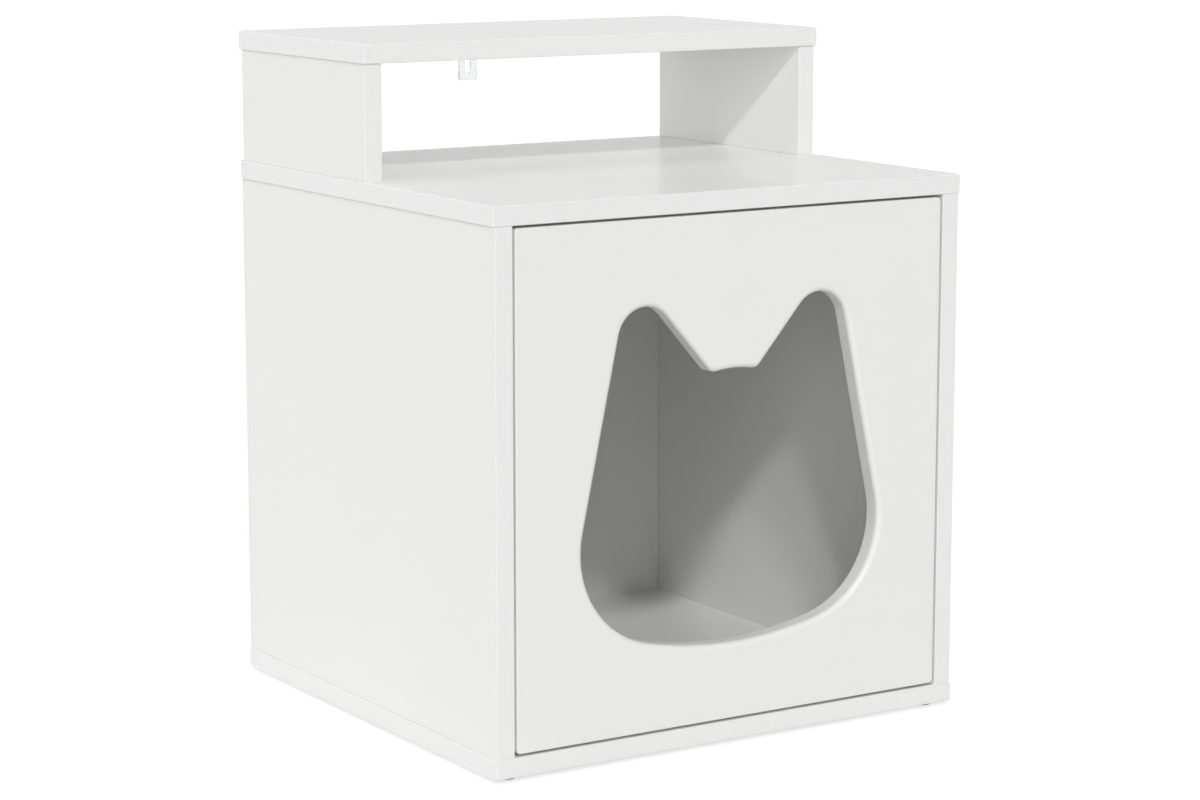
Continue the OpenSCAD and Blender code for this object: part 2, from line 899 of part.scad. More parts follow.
// Flat shape of the flange: a disc and two ears joined to it by tapering webs
module flange() {
    linear_extrude(flange_t) {
        circle(r = flange_r, $fn = 96);
        for (s = [-1, 1]) {
            translate([-cup_screw_back, s * cup_screw_gap / 2])
                circle(r = flange_ear_r);
            polygon([
                [-cup_screw_back - flange_ear_r, s * cup_screw_gap / 2],
                [-cup_screw_back - flange_ear_r, 0],
                [flange_waist.x, 0],
                [flange_waist.x, s * flange_waist.y],
                [-cup_screw_back + flange_ear_r, s * cup_screw_gap / 2]
            ]);
        }
    }
}

module hinge_cup_screws() {
    color(steel_colour)
        for (z = hinge_zs, s = [-1, 1])
            at_hinge(z)
                translate([cup_x - cup_screw_back, flange_t, s * cup_screw_gap / 2])
                    rotate([90, 0, 0])
                        pan_screw(cup_screw_l);
}

module hinge_cup_pins() {
    color(steel_colour)
        for (z = hinge_zs, p = [cup_pivot_outer, cup_pivot_inner])
            at_hinge(z)
                pin(p, rib_out);
}

// A straight bar of half width r between two points
module bar(p, q, r) {
    along = (q - p) / norm(q - p);
    side = r * [-along.y, along.x];
    polygon([p + side, p - side, q - side, q + side]);
}

// A bent link with an eye at each end
module link_shape(p, knee, q, hole_p, hole_q) {
    difference() {
        union() {
            bar(p, knee, bar_r);
            bar(knee, q, bar_r);
            translate(knee)
                circle(r = bar_r);
            for (e = [p, q])
                translate(e)
                    circle(r = eye_r);
        }
        translate(p)
            circle(d = hole_p);
        translate(q)
            circle(d = hole_q);
    }
}

// The two bent plates that carry the door
module outer_links(z) {
    hole_d = pin_d + 2 * pin_play;
    color(steel_colour)
        at_hinge(z)
            for (s = [-1, 1])
                translate([0, 0, s * (outer_link_in + outer_link_out) / 2])
                    linear_extrude(outer_link_out - outer_link_in, center = true)
                        link_shape(arm_pivot_outer, outer_knee, cup_pivot_outer, hole_d, hole_d);
}

// The middle link that steers the door
module inner_link(z) {
    color(steel_colour)
        at_hinge(z)
            linear_extrude(2 * inner_link_half, center = true)
                link_shape(
                    arm_pivot_inner, inner_knee, cup_pivot_inner,
                    pin_d + 2 * pin_play, pin_d + 2 * open_pivot_play
                );
}

// Side view of the swan-necked arm, which leaves room for the door's edge as it swings in
module arm_shape() {
    nose = [arm_pivot_outer + [0, eye_r], arm_pivot_inner + [eye_r, 0], arm_pivot_inner - [0, eye_r]];
    polygon(concat(neck_back, neck_room, nose));
    bar(arm_pivot_outer, arm_pivot_inner, eye_r);
    for (p = [arm_pivot_outer, arm_pivot_inner])
        translate(p)
            circle(r = eye_r);
}

// The web that joins the arm's two cheeks along its outer edge
module web_shape() {
    intersection() {
        arm_shape();
        for (i = [web_start:len(neck_back) - 2]) {
            bar(neck_back[i], neck_back[i + 1], web_t);
            translate(neck_back[i])
                circle(r = web_t);
        }
    }
}

module hinge_arm(z) {
    color(steel_colour)
        at_hinge(z)
            difference() {
                union() {
                    for (s = [-1, 1])
                        translate([0, 0, s * (cheek_in + cheek_out) / 2])
                            linear_extrude(cheek_out - cheek_in, center = true)
                                arm_shape();
                    linear_extrude(2 * cheek_out, center = true)
                        web_shape();
                }
                for (p = [arm_pivot_outer, arm_pivot_inner])
                    translate([p.x, p.y, -cheek_out - cut])
                        cylinder(d = pin_d + pin_play, h = 2 * (cheek_out + cut));
                for (y = arm_screw_ys)
                    translate([arm_web_x - cut, y, 0])
                        rotate([0, 90, 0])
                            cylinder(d = arm_screw_d + 2 * fit, h = web_t + 2 * cut);
            }
}

module hinge_arm_pins() {
    color(steel_colour)
        for (z = hinge_zs, p = [arm_pivot_outer, arm_pivot_inner])
            at_hinge(z)
                pin(p, cheek_out);
}

module hinge_arm_screws() {
    color(steel_colour)
        for (z = hinge_zs, y = arm_screw_ys)
            at_hinge(z)
                translate([arm_web_x, y, 0])
                    rotate([0, 90, 0])
                        pan_screw(web_t + arm_screw_bite, arm_screw_d, arm_screw_head_d, arm_screw_head_h);
}

// The plate on the side board: two screw wings and the ridge that the arm sits on
module hinge_plate(z) {
    wing_z = plate_screw_gap / 2;
    color(steel_colour)
        at_hinge(z)
            difference() {
                union() {
                    translate([-plate_t, plate_in - wing_r, -wing_z])
                        cube([plate_t, 2 * wing_r, 2 * wing_z]);
                    for (s = [-1, 1])
                        translate([-plate_t, plate_in, s * wing_z])
                            rotate([0, 90, 0])
                                cylinder(r = wing_r, h = plate_t);
                    translate([-plate_t, ridge_y0 - plate_margin, -cheek_out - plate_margin])
                        cube([plate_t, ridge_y1 - ridge_y0 + 2 * plate_margin, 2 * (cheek_out + plate_margin)]);
                    translate([arm_web_x + web_t, ridge_y0, -ridge_half])
                        cube([-arm_web_x - web_t, ridge_y1 - ridge_y0, 2 * ridge_half]);
                }
                for (s = [-1, 1])
                    translate([-plate_t - cut, plate_in, s * wing_z])
                        rotate([0, 90, 0])
                            cylinder(d = wood_screw_d + 2 * fit, h = plate_t + 2 * cut);
                for (y = arm_screw_ys)
                    translate([arm_web_x, y, 0])
                        rotate([0, 90, 0])
                            cylinder(d = arm_screw_d + 2 * fit, h = web_t + arm_screw_bite + end_gap);
            }
}

module hinge_plate_screws() {
    color(steel_colour)
        for (z = hinge_zs, s = [-1, 1])
            at_hinge(z)
                translate([-plate_t, plate_in, s * plate_screw_gap / 2])
                    rotate([0, 90, 0])
                        pan_screw(plate_screw_l);
}

base_panel();
left_side_panel();
right_side_panel();
back_panel();
top_panel();
riser_left_side();
riser_right_side();
riser_shelf();
door_panel();
base_dowels();
top_dowels();
riser_dowels();
shelf_dowels();
base_screws();
riser_screws();
cam_bolts();
cam_locks();
cam_caps();
back_nails();
foot(0);  // foot_front_left
foot(1);  // foot_front_right
foot(2);  // foot_back_left
foot(3);  // foot_back_right
foot_nails();
wall_bracket();
wall_bracket_screw();
hinge_cup(hinge_zs[1]);  // upper_hinge_cup
hinge_cup(hinge_zs[0]);  // lower_hinge_cup
hinge_cup_screws();
hinge_cup_pins();
outer_links(hinge_zs[1]);  // upper_outer_links
outer_links(hinge_zs[0]);  // lower_outer_links
inner_link(hinge_zs[1]);  // upper_inner_link
inner_link(hinge_zs[0]);  // lower_inner_link
hinge_arm(hinge_zs[1]);  // upper_hinge_arm
hinge_arm(hinge_zs[0]);  // lower_hinge_arm
hinge_arm_pins();
hinge_arm_screws();
hinge_plate(hinge_zs[1]);  // upper_hinge_plate
hinge_plate(hinge_zs[0]);  // lower_hinge_plate
hinge_plate_screws();
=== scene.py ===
"""A white cat house with a raised shelf: boards, door, hinges and fittings, dressed for a studio picture."""

import json
import logging
import math
from abc import ABC, abstractmethod
from dataclasses import dataclass, field
from enum import Enum

import bmesh
import bpy
from mathutils import Matrix, Vector
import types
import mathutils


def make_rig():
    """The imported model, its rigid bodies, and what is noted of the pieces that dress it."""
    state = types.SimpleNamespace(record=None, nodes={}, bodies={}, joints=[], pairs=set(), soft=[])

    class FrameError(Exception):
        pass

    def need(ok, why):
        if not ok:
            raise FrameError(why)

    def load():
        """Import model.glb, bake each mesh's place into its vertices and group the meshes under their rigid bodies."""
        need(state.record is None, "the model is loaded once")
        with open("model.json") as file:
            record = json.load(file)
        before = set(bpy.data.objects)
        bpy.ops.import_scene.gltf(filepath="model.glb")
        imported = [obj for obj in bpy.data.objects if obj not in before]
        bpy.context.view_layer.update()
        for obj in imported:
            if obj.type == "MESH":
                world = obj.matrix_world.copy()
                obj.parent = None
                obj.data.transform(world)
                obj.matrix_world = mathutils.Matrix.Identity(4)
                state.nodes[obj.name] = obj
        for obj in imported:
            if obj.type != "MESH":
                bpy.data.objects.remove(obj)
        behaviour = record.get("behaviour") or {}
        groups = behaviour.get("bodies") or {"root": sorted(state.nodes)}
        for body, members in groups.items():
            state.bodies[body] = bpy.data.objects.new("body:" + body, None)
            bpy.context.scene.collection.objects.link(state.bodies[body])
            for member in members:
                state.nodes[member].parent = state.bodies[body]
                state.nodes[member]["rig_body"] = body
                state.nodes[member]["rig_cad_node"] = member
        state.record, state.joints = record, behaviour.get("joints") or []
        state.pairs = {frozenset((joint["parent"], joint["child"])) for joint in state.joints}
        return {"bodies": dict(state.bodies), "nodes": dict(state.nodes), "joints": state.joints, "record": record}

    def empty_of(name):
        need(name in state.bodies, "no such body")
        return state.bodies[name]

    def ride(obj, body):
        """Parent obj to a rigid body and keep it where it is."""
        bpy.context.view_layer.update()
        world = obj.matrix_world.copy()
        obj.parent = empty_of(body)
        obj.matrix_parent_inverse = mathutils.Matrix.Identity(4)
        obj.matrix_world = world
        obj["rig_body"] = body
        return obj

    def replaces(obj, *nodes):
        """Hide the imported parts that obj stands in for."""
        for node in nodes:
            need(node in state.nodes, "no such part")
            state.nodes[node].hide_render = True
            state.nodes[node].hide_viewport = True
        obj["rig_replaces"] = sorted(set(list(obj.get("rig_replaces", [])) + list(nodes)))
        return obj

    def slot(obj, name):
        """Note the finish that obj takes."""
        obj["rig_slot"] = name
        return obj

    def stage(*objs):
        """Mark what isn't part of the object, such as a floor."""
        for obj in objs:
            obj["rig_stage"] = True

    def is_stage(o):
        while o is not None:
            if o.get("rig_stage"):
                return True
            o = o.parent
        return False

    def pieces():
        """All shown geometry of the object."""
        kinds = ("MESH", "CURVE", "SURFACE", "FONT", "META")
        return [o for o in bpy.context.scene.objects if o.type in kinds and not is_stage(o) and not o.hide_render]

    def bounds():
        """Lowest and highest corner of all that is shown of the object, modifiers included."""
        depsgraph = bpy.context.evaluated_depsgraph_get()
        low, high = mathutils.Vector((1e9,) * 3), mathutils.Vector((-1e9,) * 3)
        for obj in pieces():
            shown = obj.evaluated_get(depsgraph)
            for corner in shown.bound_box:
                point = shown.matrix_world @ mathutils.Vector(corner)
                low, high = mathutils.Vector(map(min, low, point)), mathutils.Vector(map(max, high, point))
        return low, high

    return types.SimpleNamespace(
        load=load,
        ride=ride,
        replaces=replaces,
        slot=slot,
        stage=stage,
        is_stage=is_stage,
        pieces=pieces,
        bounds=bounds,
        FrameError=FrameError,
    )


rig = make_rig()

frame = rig.load()

LOG = logging.getLogger("cat_house")
Point2 = tuple[float, float]
Point3 = tuple[float, float, float]
Colour = tuple[float, float, float]
Ring = list[bmesh.types.BMVert]
Edges = list[bmesh.types.BMEdge]

MM = 0.001
WELD_MM = 0.002
SHARP_DEG = 30.0
FLAT_DEG = 0.6
# Least cosine between an edge or normal and an axis that it runs along.
ALONG = 0.999
SMALLEST_R = 0.2
CORNER_STEPS = 8
TURNED_STEPS = 40
OVERSHOOT_MM = 1.0
LARGE_FACE_WEIGHT = 60
BREAK_STEPS = 2
SMALLEST_BREAK_MM = 0.02
# Share of the shortest edge beside it that a broken edge may take up.
ROOM = 0.4
CLOUD_ROUGHNESS = 0.55
SATIN_SHINE = 0.4
MIDDLE = (0.3, 0.7)
EVEN = (1.0, 1.0, 1.0)
AXIS = Vector((0.0, 0.0))


# Sizes


@dataclass(frozen=True)
class Sizes:
    """The cabinet's sizes in millimetres, as the part's source has them."""

    width: float = 420.0
    depth: float = 400.0
    height: float = 420.0
    base_z: float = 3.5
    board: float = 15.0
    reveal: float = 1.25
    back: float = 3.0
    riser_height: float = 104.0
    riser_depth: float = 211.0
    riser_setback: float = 2.0
    door: float = 15.0
    door_gap: float = 2.0
    door_corner_r: float = 3.0
    hinge_in: float = 70.0
    cup_d: float = 35.0
    cup_in: float = 20.5
    cup_depth: float = 12.4
    base_screw_y: Point2 = (-134.0, 131.0)
    riser_screw_y: Point2 = (39.0, 149.0)

    @property
    def floor_z(self) -> float:
        """Upper face of the base."""
        return self.base_z + self.board

    @property
    def top_z(self) -> float:
        """Upper face of the lower top."""
        return self.base_z + self.height

    @property
    def under_top_z(self) -> float:
        """Underside of the lower top."""
        return self.top_z - self.board

    @property
    def under_shelf_z(self) -> float:
        """Underside of the raised shelf."""
        return self.top_z + self.riser_height - self.board

    @property
    def outer_x(self) -> float:
        """Outer faces of the side boards."""
        return self.width / 2 - self.reveal

    @property
    def side_x(self) -> float:
        """Middle planes of the side boards."""
        return self.outer_x - self.board / 2

    @property
    def inner_x(self) -> float:
        """Inner faces of the side boards."""
        return self.outer_x - self.board

    @property
    def front_y(self) -> float:
        """Front plane of the cabinet."""
        return -self.depth / 2

    @property
    def back_y(self) -> float:
        """Back plane of the cabinet."""
        return self.depth / 2

    @property
    def side_back_y(self) -> float:
        """Back edges of the side boards."""
        return self.back_y - self.back

    @property
    def shelf_front_y(self) -> float:
        """Front edge of the raised shelf."""
        return self.back_y - self.riser_depth

    @property
    def door_low(self) -> Point2:
        """Lower left corner of the door, as X and Z."""
        return -self.inner_x + self.door_gap, self.floor_z + self.door_gap

    @property
    def door_high(self) -> Point2:
        """Upper right corner of the door, as X and Z."""
        return self.inner_x - self.door_gap, self.under_top_z - self.door_gap

    @property
    def hinge_z(self) -> Point2:
        """Heights of the lower and the upper hinge."""
        return self.door_low[1] + self.hinge_in, self.door_high[1] - self.hinge_in


# Shader maths


@dataclass(frozen=True)
class Wire:
    """One output of a node tree, with the operators that the finishes use."""

    bench: "NodeBench"
    socket: bpy.types.NodeSocket

    def _math(self, operation: str, other: "Wire | float") -> "Wire":
        """One Math node on this and other."""
        return self.bench.wire("ShaderNodeMath", {"operation": operation}, {0: self, 1: other})

    def __add__(self, other: "Wire | float") -> "Wire":
        """This plus other."""
        return self._math("ADD", other)

    __radd__ = __add__

    def __mul__(self, other: "Wire | float") -> "Wire":
        """This times other."""
        return self._math("MULTIPLY", other)

    __rmul__ = __mul__

    def at_least(self, other: "Wire | float") -> "Wire":
        """The larger of this and other."""
        return self._math("MAXIMUM", other)

    def between(self, low: float, high: float) -> "Wire":
        """A smooth step of this value, from 0 at low to 1 at high."""
        inputs = {"Value": self, "From Min": low, "From Max": high, "To Min": 0.0, "To Max": 1.0}
        return self.bench.wire("ShaderNodeMapRange", {"interpolation_type": "SMOOTHSTEP"}, inputs)


class NodeBench:
    """Builds one node tree."""

    def __init__(self, tree: bpy.types.NodeTree) -> None:
        """Takes a tree and clears it."""
        self.tree = tree
        tree.nodes.clear()

    def node(self, kind: str, settings: dict | None = None, inputs: dict | None = None) -> bpy.types.Node:
        """Makes a node.

        Args:
            kind: The node's type.
            settings: Its settings, which are set first.
            inputs: Values or wires by input name or number.

        Returns:
            The node.
        """
        made = self.tree.nodes.new(kind)
        for name, value in (settings or {}).items():
            setattr(made, name, value)
        for name, value in (inputs or {}).items():
            socket = made.inputs[name] if isinstance(name, int) else self._input(made, name)
            self._feed(socket, value)
        return made

    def wire(
        self, kind: str, settings: dict | None = None, inputs: dict | None = None, output: str = ""
    ) -> Wire:
        """Makes a node and takes its output of that name, or else its first that is in use."""
        made = self.node(kind, settings, inputs)
        return Wire(self, next(s for s in made.outputs if s.enabled and output in ("", s.name)))

    def mix(self, factor: Wire, first: Wire | Colour, second: Wire | Colour) -> Wire:
        """Mixes two colours: factor 0 gives the first, 1 the second."""
        return self.wire("ShaderNodeMix", {"data_type": "RGBA"}, {"Factor": factor, "A": first, "B": second})

    def place(self, scale: Point3) -> Wire:
        """The point on the piece in metres, each axis times a scale."""
        point = self.wire("ShaderNodeTexCoord", output="Object")
        return self.wire("ShaderNodeVectorMath", {"operation": "MULTIPLY"}, {0: point, 1: scale})

    def noise(self, size_mm: float, detail: float, stretch: Point3 = EVEN) -> Wire:
        """Cloudy noise from 0 to 1.

        Args:
            size_mm: The size of its clouds.
            detail: How many finer layers it has.
            stretch: How much longer its clouds are along each axis.

        Returns:
            The noise.
        """
        point = self.place(tuple(1.0 / s for s in stretch))
        scale = 1.0 / (size_mm * MM)
        inputs = {"Vector": point, "Scale": scale, "Detail": detail, "Roughness": CLOUD_ROUGHNESS}
        return self.wire("ShaderNodeTexNoise", {}, inputs)

    def bump(self, height: Wire, depth_mm: float) -> Wire:
        """A shader's Normal, bumped by a height from 0 to 1 that is so deep at 1."""
        inputs = {"Strength": 1.0, "Distance": depth_mm * MM, "Height": height}
        return self.wire("ShaderNodeBump", {}, inputs, "Normal")

    @staticmethod
    def _input(made: bpy.types.Node, name: str) -> bpy.types.NodeSocket:
        """The node's input of that name that is in use."""
        return next(s for s in made.inputs if s.enabled and s.name == name)

    def _feed(self, socket: bpy.types.NodeSocket, value: object) -> None:
        """Links a wire to a socket, or sets the socket's own value.

        Args:
            socket: The input socket.
            value: A wire, a number, or a vector or colour of three numbers.
        """
        if isinstance(value, Wire):
            self.tree.links.new(value.socket, socket)
        elif socket.type == "RGBA":
            socket.default_value = (*value, 1.0)
        else:
            socket.default_value = value


# Finishes


@dataclass(frozen=True)
class Finish(ABC):
    """A finish that varies a little over the surface; its kinds below say how."""

    name: str
    colour: Colour
    roughness: float

    def material(self) -> bpy.types.Material:
        """Makes the finish's material the first time that it is asked for.

        Returns:
            The material.
        """
        made = bpy.data.materials.get(self.name)
        if made is None:
            made = bpy.data.materials.new(self.name)
            made.use_nodes = True
            bench = NodeBench(made.node_tree)
            shader = bench.wire("ShaderNodeBsdfPrincipled", {}, self.inputs(bench))
            bench.node("ShaderNodeOutputMaterial", {}, {"Surface": shader})
            made.diffuse_color = (*self.colour, 1.0)
        return made

    @abstractmethod
    def inputs(self, bench: NodeBench) -> dict:
        """The shader's inputs, as values or wires by their names."""

    def shaded(self, factor: float) -> Colour:
        """The finish's colour, times a factor."""
        return tuple(c * factor for c in self.colour)


@dataclass(frozen=True)
class CoatedBoard(Finish):
    """White melamine: a satin coat with a fine pearl, faint clouds of gloss and a few duller specks."""

    pearl_mm: float = 0.55
    pearl_share: float = 0.8
    streak: Point3 = EVEN
    variation: float = 0.012
    cloud_gloss: float = 0.015
    fine_gloss: float = 0.03
    speck_gloss: float = 0.04

    def inputs(self, bench: NodeBench) -> dict:
        """The coat's colour, gloss and pearl.

        Args:
            bench: The material's bench.

        Returns:
            Values or wires by name.
        """
        clouds = bench.noise(size_mm=90.0, detail=3.0)
        fine = bench.noise(size_mm=1.6, detail=2.0, stretch=self.streak)
        pearl = bench.noise(self.pearl_mm, detail=1.0)
        specks = bench.noise(size_mm=0.9, detail=0.0).between(low=0.68, high=0.8)
        tone = ((clouds + fine) * 0.5).between(*MIDDLE)
        gloss = clouds.between(*MIDDLE) * self.cloud_gloss + fine * self.fine_gloss
        height = pearl * self.pearl_share + fine * (1.0 - self.pearl_share)
        return {
            "Base Color": bench.mix(tone, self.shaded(1.0 - self.variation), self.colour),
            "Roughness": gloss + specks * self.speck_gloss + (self.roughness - self.fine_gloss),
            "Normal": bench.bump(height, depth_mm=0.004),
            "Specular IOR Level": SATIN_SHINE,
        }


@dataclass(frozen=True)
class EdgeBand(Finish):
    """A plastic edge band: smoother than the board, with faint lines along it from the roll."""

    line_gloss: float = 0.06
    wave_gloss: float = 0.04
    line_share: float = 0.4

    def inputs(self, bench: NodeBench) -> dict:
        """The band's colour, gloss and lines.

        Args:
            bench: The material's bench.

        Returns:
            Values or wires by name.
        """
        lines = bench.noise(size_mm=0.7, detail=1.0, stretch=(40.0, 40.0, 1.0))
        waves = bench.noise(size_mm=14.0, detail=1.0)
        smoothest = self.roughness - (self.line_gloss + self.wave_gloss) / 2
        height = lines * self.line_share + waves * (1.0 - self.line_share)
        return {
            "Base Color": bench.mix(lines, self.shaded(factor=0.985), self.colour),
            "Roughness": lines * self.line_gloss + waves * self.wave_gloss + smoothest,
            "Normal": bench.bump(height, depth_mm=0.004),
            "Specular IOR Level": SATIN_SHINE,
        }


@dataclass(frozen=True)
class Grained(Finish):
    """A fine grain with patches over it that differ in shade and gloss."""

    metallic: float = 0.0
    grain_mm: float = 0.25
    grain_stretch: Point3 = EVEN
    grain_depth_mm: float = 0.004
    grain_gloss: float = 0.1
    patch_mm: float = 9.0
    patch_detail: float = 1.0
    patch_range: Point2 = (0.3, 0.75)
    patch_mix: float = 0.3
    patch_gloss: float = 0.3
    patch_shade: float = 0.82
    smoothing: float = 0.08

    def inputs(self, bench: NodeBench) -> dict:
        """The surface's colour, gloss and grain.

        Args:
            bench: The material's bench.

        Returns:
            Values or wires by name.
        """
        grain = bench.noise(self.grain_mm, detail=2.0, stretch=self.grain_stretch)
        patches = bench.noise(self.patch_mm, self.patch_detail).between(*self.patch_range)
        gloss = grain * self.grain_gloss + patches * (self.patch_gloss * self.patch_mix)
        return {
            "Base Color": bench.mix(patches * self.patch_mix, self.colour, self.shaded(self.patch_shade)),
            "Metallic": self.metallic,
            "Roughness": gloss + (self.roughness - self.smoothing),
            "Normal": bench.bump(grain, self.grain_depth_mm),
        }


@dataclass(frozen=True)
class Metal(Grained):
    """Plated sheet or wire: fine polishing lines and patches of duller plating."""

    metallic: float = 1.0


@dataclass(frozen=True)
class MouldedPlastic(Grained):
    """Moulded plastic with a spark-eroded grain and a few scuffs."""

    grain_mm: float = 0.35
    grain_depth_mm: float = 0.02
    patch_mm: float = 3.0
    patch_detail: float = 4.0
    patch_range: Point2 = (0.5, 0.75)
    patch_mix: float = 0.5
    patch_gloss: float = 0.16
    patch_shade: float = 1.25
    smoothing: float = 0.05


@dataclass(frozen=True)
class ClearPlastic(Finish):
    """Clear moulded plastic, a little milky, with faint flow lines."""

    clearness: float = 0.88
    ior: float = 1.46
    flow_gloss: float = 0.05

    def inputs(self, bench: NodeBench) -> dict:
        """The plastic's tint, gloss and flow lines.

        Args:
            bench: The material's bench.

        Returns:
            Values or wires by name.
        """
        flow = bench.noise(size_mm=5.0, detail=1.0, stretch=(1.0, 1.0, 3.0))
        return {
            "Base Color": self.colour,
            "Roughness": flow * self.flow_gloss + self.roughness,
            "Normal": bench.bump(flow, depth_mm=0.03),
            "Transmission Weight": self.clearness,
            "IOR": self.ior,
        }


@dataclass(frozen=True)
class Beech(Finish):
    """Raw turned beech: long pale fibres with short darker flecks."""

    fibre_gloss: float = 0.15

    def inputs(self, bench: NodeBench) -> dict:
        """The wood's colour, dullness and fibres.

        Args:
            bench: The material's bench.

        Returns:
            Values or wires by name.
        """
        fibres = bench.noise(size_mm=0.6, detail=3.0, stretch=(1.0, 1.0, 25.0))
        flecks = bench.noise(size_mm=0.5, detail=1.0, stretch=(1.0, 1.0, 5.0)).between(low=0.62, high=0.72)
        wood = bench.mix(fibres, self.shaded(factor=0.8), self.colour)
        return {
            "Base Color": bench.mix(flecks, wood, self.shaded(factor=0.5)),
            "Roughness": fibres * self.fibre_gloss + self.roughness,
            "Normal": bench.bump(fibres, depth_mm=0.03),
        }


class Finishes:
    """Every finish of the cat house, by its own name."""

    MELAMINE = CoatedBoard("white_melamine", (0.9, 0.9, 0.893), 0.21)
    FOIL = CoatedBoard("white_door_foil", (0.9, 0.898, 0.885), 0.36, pearl_mm=0.7, variation=0.01)
    LACQUER = CoatedBoard(
        "white_back_lacquer", (0.885, 0.885, 0.877), 0.42, streak=(30.0, 1.0, 1.0), variation=0.02
    )
    BAND = EdgeBand("white_edge_band", (0.905, 0.905, 0.9), 0.3)
    GLUE = EdgeBand("glue_line", (0.55, 0.54, 0.52), 0.6)
    NICKEL = Metal("nickel_plate", (0.66, 0.645, 0.61), 0.3, grain_stretch=(1.0, 1.0, 12.0))
    ZINC = Metal("zinc_plate", (0.62, 0.64, 0.66), 0.38, patch_mix=0.5)
    DIE_CAST = Metal("die_cast_zinc", (0.5, 0.51, 0.52), 0.5, patch_mix=0.7)
    CAP = MouldedPlastic("white_cap_plastic", (0.8, 0.8, 0.79), 0.4, patch_shade=1.02)
    GLIDE = MouldedPlastic("black_glide_plastic", (0.025, 0.025, 0.027), 0.5)
    CLEAR = ClearPlastic("clear_bracket_plastic", (0.96, 0.98, 1.0), 0.1)
    BEECH = Beech("raw_beech", (0.68, 0.47, 0.29), 0.6)


# Mesh making


@dataclass
class MeshBench:
    """Turns a bmesh into a dressed object; its faces' material numbers count through its finishes."""

    name: str
    finishes: tuple[Finish, ...] = ()
    bm: bmesh.types.BMesh = field(default_factory=bmesh.new)

    def ring(self, points: list[Vector]) -> Ring:
        """Adds a vertex for each point, which is given in millimetres."""
        return [self.bm.verts.new(p * MM) for p in points]

    def skin(self, rings: list[Ring], finish: int = 0) -> None:
        """Joins each closed ring to the next with quads.

        Args:
            rings: Rings with the same number of points.
            finish: The new faces' material number.
        """
        for lower, upper in zip(rings, rings[1:]):
            count = len(lower)
            for i in range(count):
                j = (i + 1) % count
                face = self.bm.faces.new((lower[i], lower[j], upper[j], upper[i]))
                face.material_index = finish

    def solid(self, rings: list[Ring]) -> None:
        """Skins the rings and closes both ends.

        Args:
            rings: Rings with the same number of points.
        """
        self.skin(rings)
        self.bm.faces.new(rings[0])
        self.bm.faces.new(rings[-1])

    def turned(self, profile: tuple[Point2, ...]) -> None:
        """Adds a closed form turned about Z, from the radius and height of each of its rings."""
        rounds = [(arc(AXIS, r, 0, 360, TURNED_STEPS, skip=1), z) for r, z in profile]
        self.solid([self.ring([Vector((*p, z)) for p in points]) for points, z in rounds])

    def fill(self, loops: list[Ring], finish: int = 0) -> None:
        """Fills a flat face between an outer loop and the loops inside it.

        Args:
            loops: The outer loop and the inner ones.
            finish: The new faces' material number.
        """
        edges = []
        for loop in loops:
            for a, b in zip(loop, loop[1:] + loop[:1]):
                edges.append(self.bm.edges.get((a, b)) or self.bm.edges.new((a, b)))
        made = bmesh.ops.triangle_fill(self.bm, use_beauty=True, use_dissolve=False, edges=edges)
        for item in made["geom"]:
            if isinstance(item, bmesh.types.BMFace):
                item.material_index = finish

    def piece(self) -> bpy.types.Object:
        """Makes the object, shaded by its larger faces, so that boards stay flat beside a round edge.

        Returns:
            The new object.
        """
        bmesh.ops.recalc_face_normals(self.bm, faces=self.bm.faces)
        mark_sharp(self.bm)
        mesh = bpy.data.meshes.new(self.name)
        self.bm.to_mesh(mesh)
        self.bm.free()
        for finish in self.finishes:
            mesh.materials.append(finish.material())
        made = bpy.data.objects.new(self.name, mesh)
        bpy.context.scene.collection.objects.link(made)
        weights = made.modifiers.new("weighted_normals", "WEIGHTED_NORMAL")
        weights.keep_sharp = True
        weights.weight = LARGE_FACE_WEIGHT
        return made


def mark_sharp(bm: bmesh.types.BMesh) -> None:
    """Makes every face smooth, and every edge that turns by more than the limit sharp.

    Args:
        bm: The mesh.
    """
    for face in bm.faces:
        face.smooth = True
    for edge in bm.edges:
        edge.smooth = len(edge.link_faces) == 2 and edge.calc_face_angle(0.0) < math.radians(SHARP_DEG)


def carve(piece: bpy.types.Object, cutter: bpy.types.Object) -> None:
    """Cuts one mesh out of another for good and removes the cutter.

    Args:
        piece: The object to cut.
        cutter: The object that is cut out of it.
    """
    cut = piece.modifiers.new("cut", "BOOLEAN")
    cut.operation, cut.solver, cut.object = "DIFFERENCE", "EXACT", cutter
    with bpy.context.temp_override(object=piece, active_object=piece, selected_objects=[piece]):
        bpy.ops.object.modifier_move_to_index(modifier=cut.name, index=0)
        bpy.ops.object.modifier_apply(modifier=cut.name)
    bm = bmesh.new()
    bm.from_mesh(piece.data)
    bmesh.ops.remove_doubles(bm, verts=bm.verts, dist=WELD_MM * MM)
    bmesh.ops.dissolve_degenerate(bm, edges=bm.edges, dist=WELD_MM * MM)
    mark_sharp(bm)
    bm.to_mesh(piece.data)
    bm.free()
    bpy.data.meshes.remove(cutter.data)


def stand_for(piece: bpy.types.Object, body: str, slot: str, *nodes: str) -> None:
    """Puts a piece on its CAD body, in place of its nodes.

    Args:
        piece: The new object.
        body: The body that it moves with.
        slot: The record's material slot that it takes its finish from.
        nodes: The CAD nodes that it stands for.
    """
    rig.ride(piece, body)
    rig.slot(piece, slot)
    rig.replaces(piece, *nodes)
    LOG.info("%s on %s stands for %s", piece.name, body, ", ".join(nodes))


def edge_turn(radius: float, steps: int) -> list[Point2]:
    """Inset and depth of a rounded edge, from the broad face to the wall, in so many steps."""
    turns = [math.radians(90 * i / steps) for i in range(steps + 1)]
    return [(radius * (1 - math.sin(a)), radius * (1 - math.cos(a))) for a in turns]


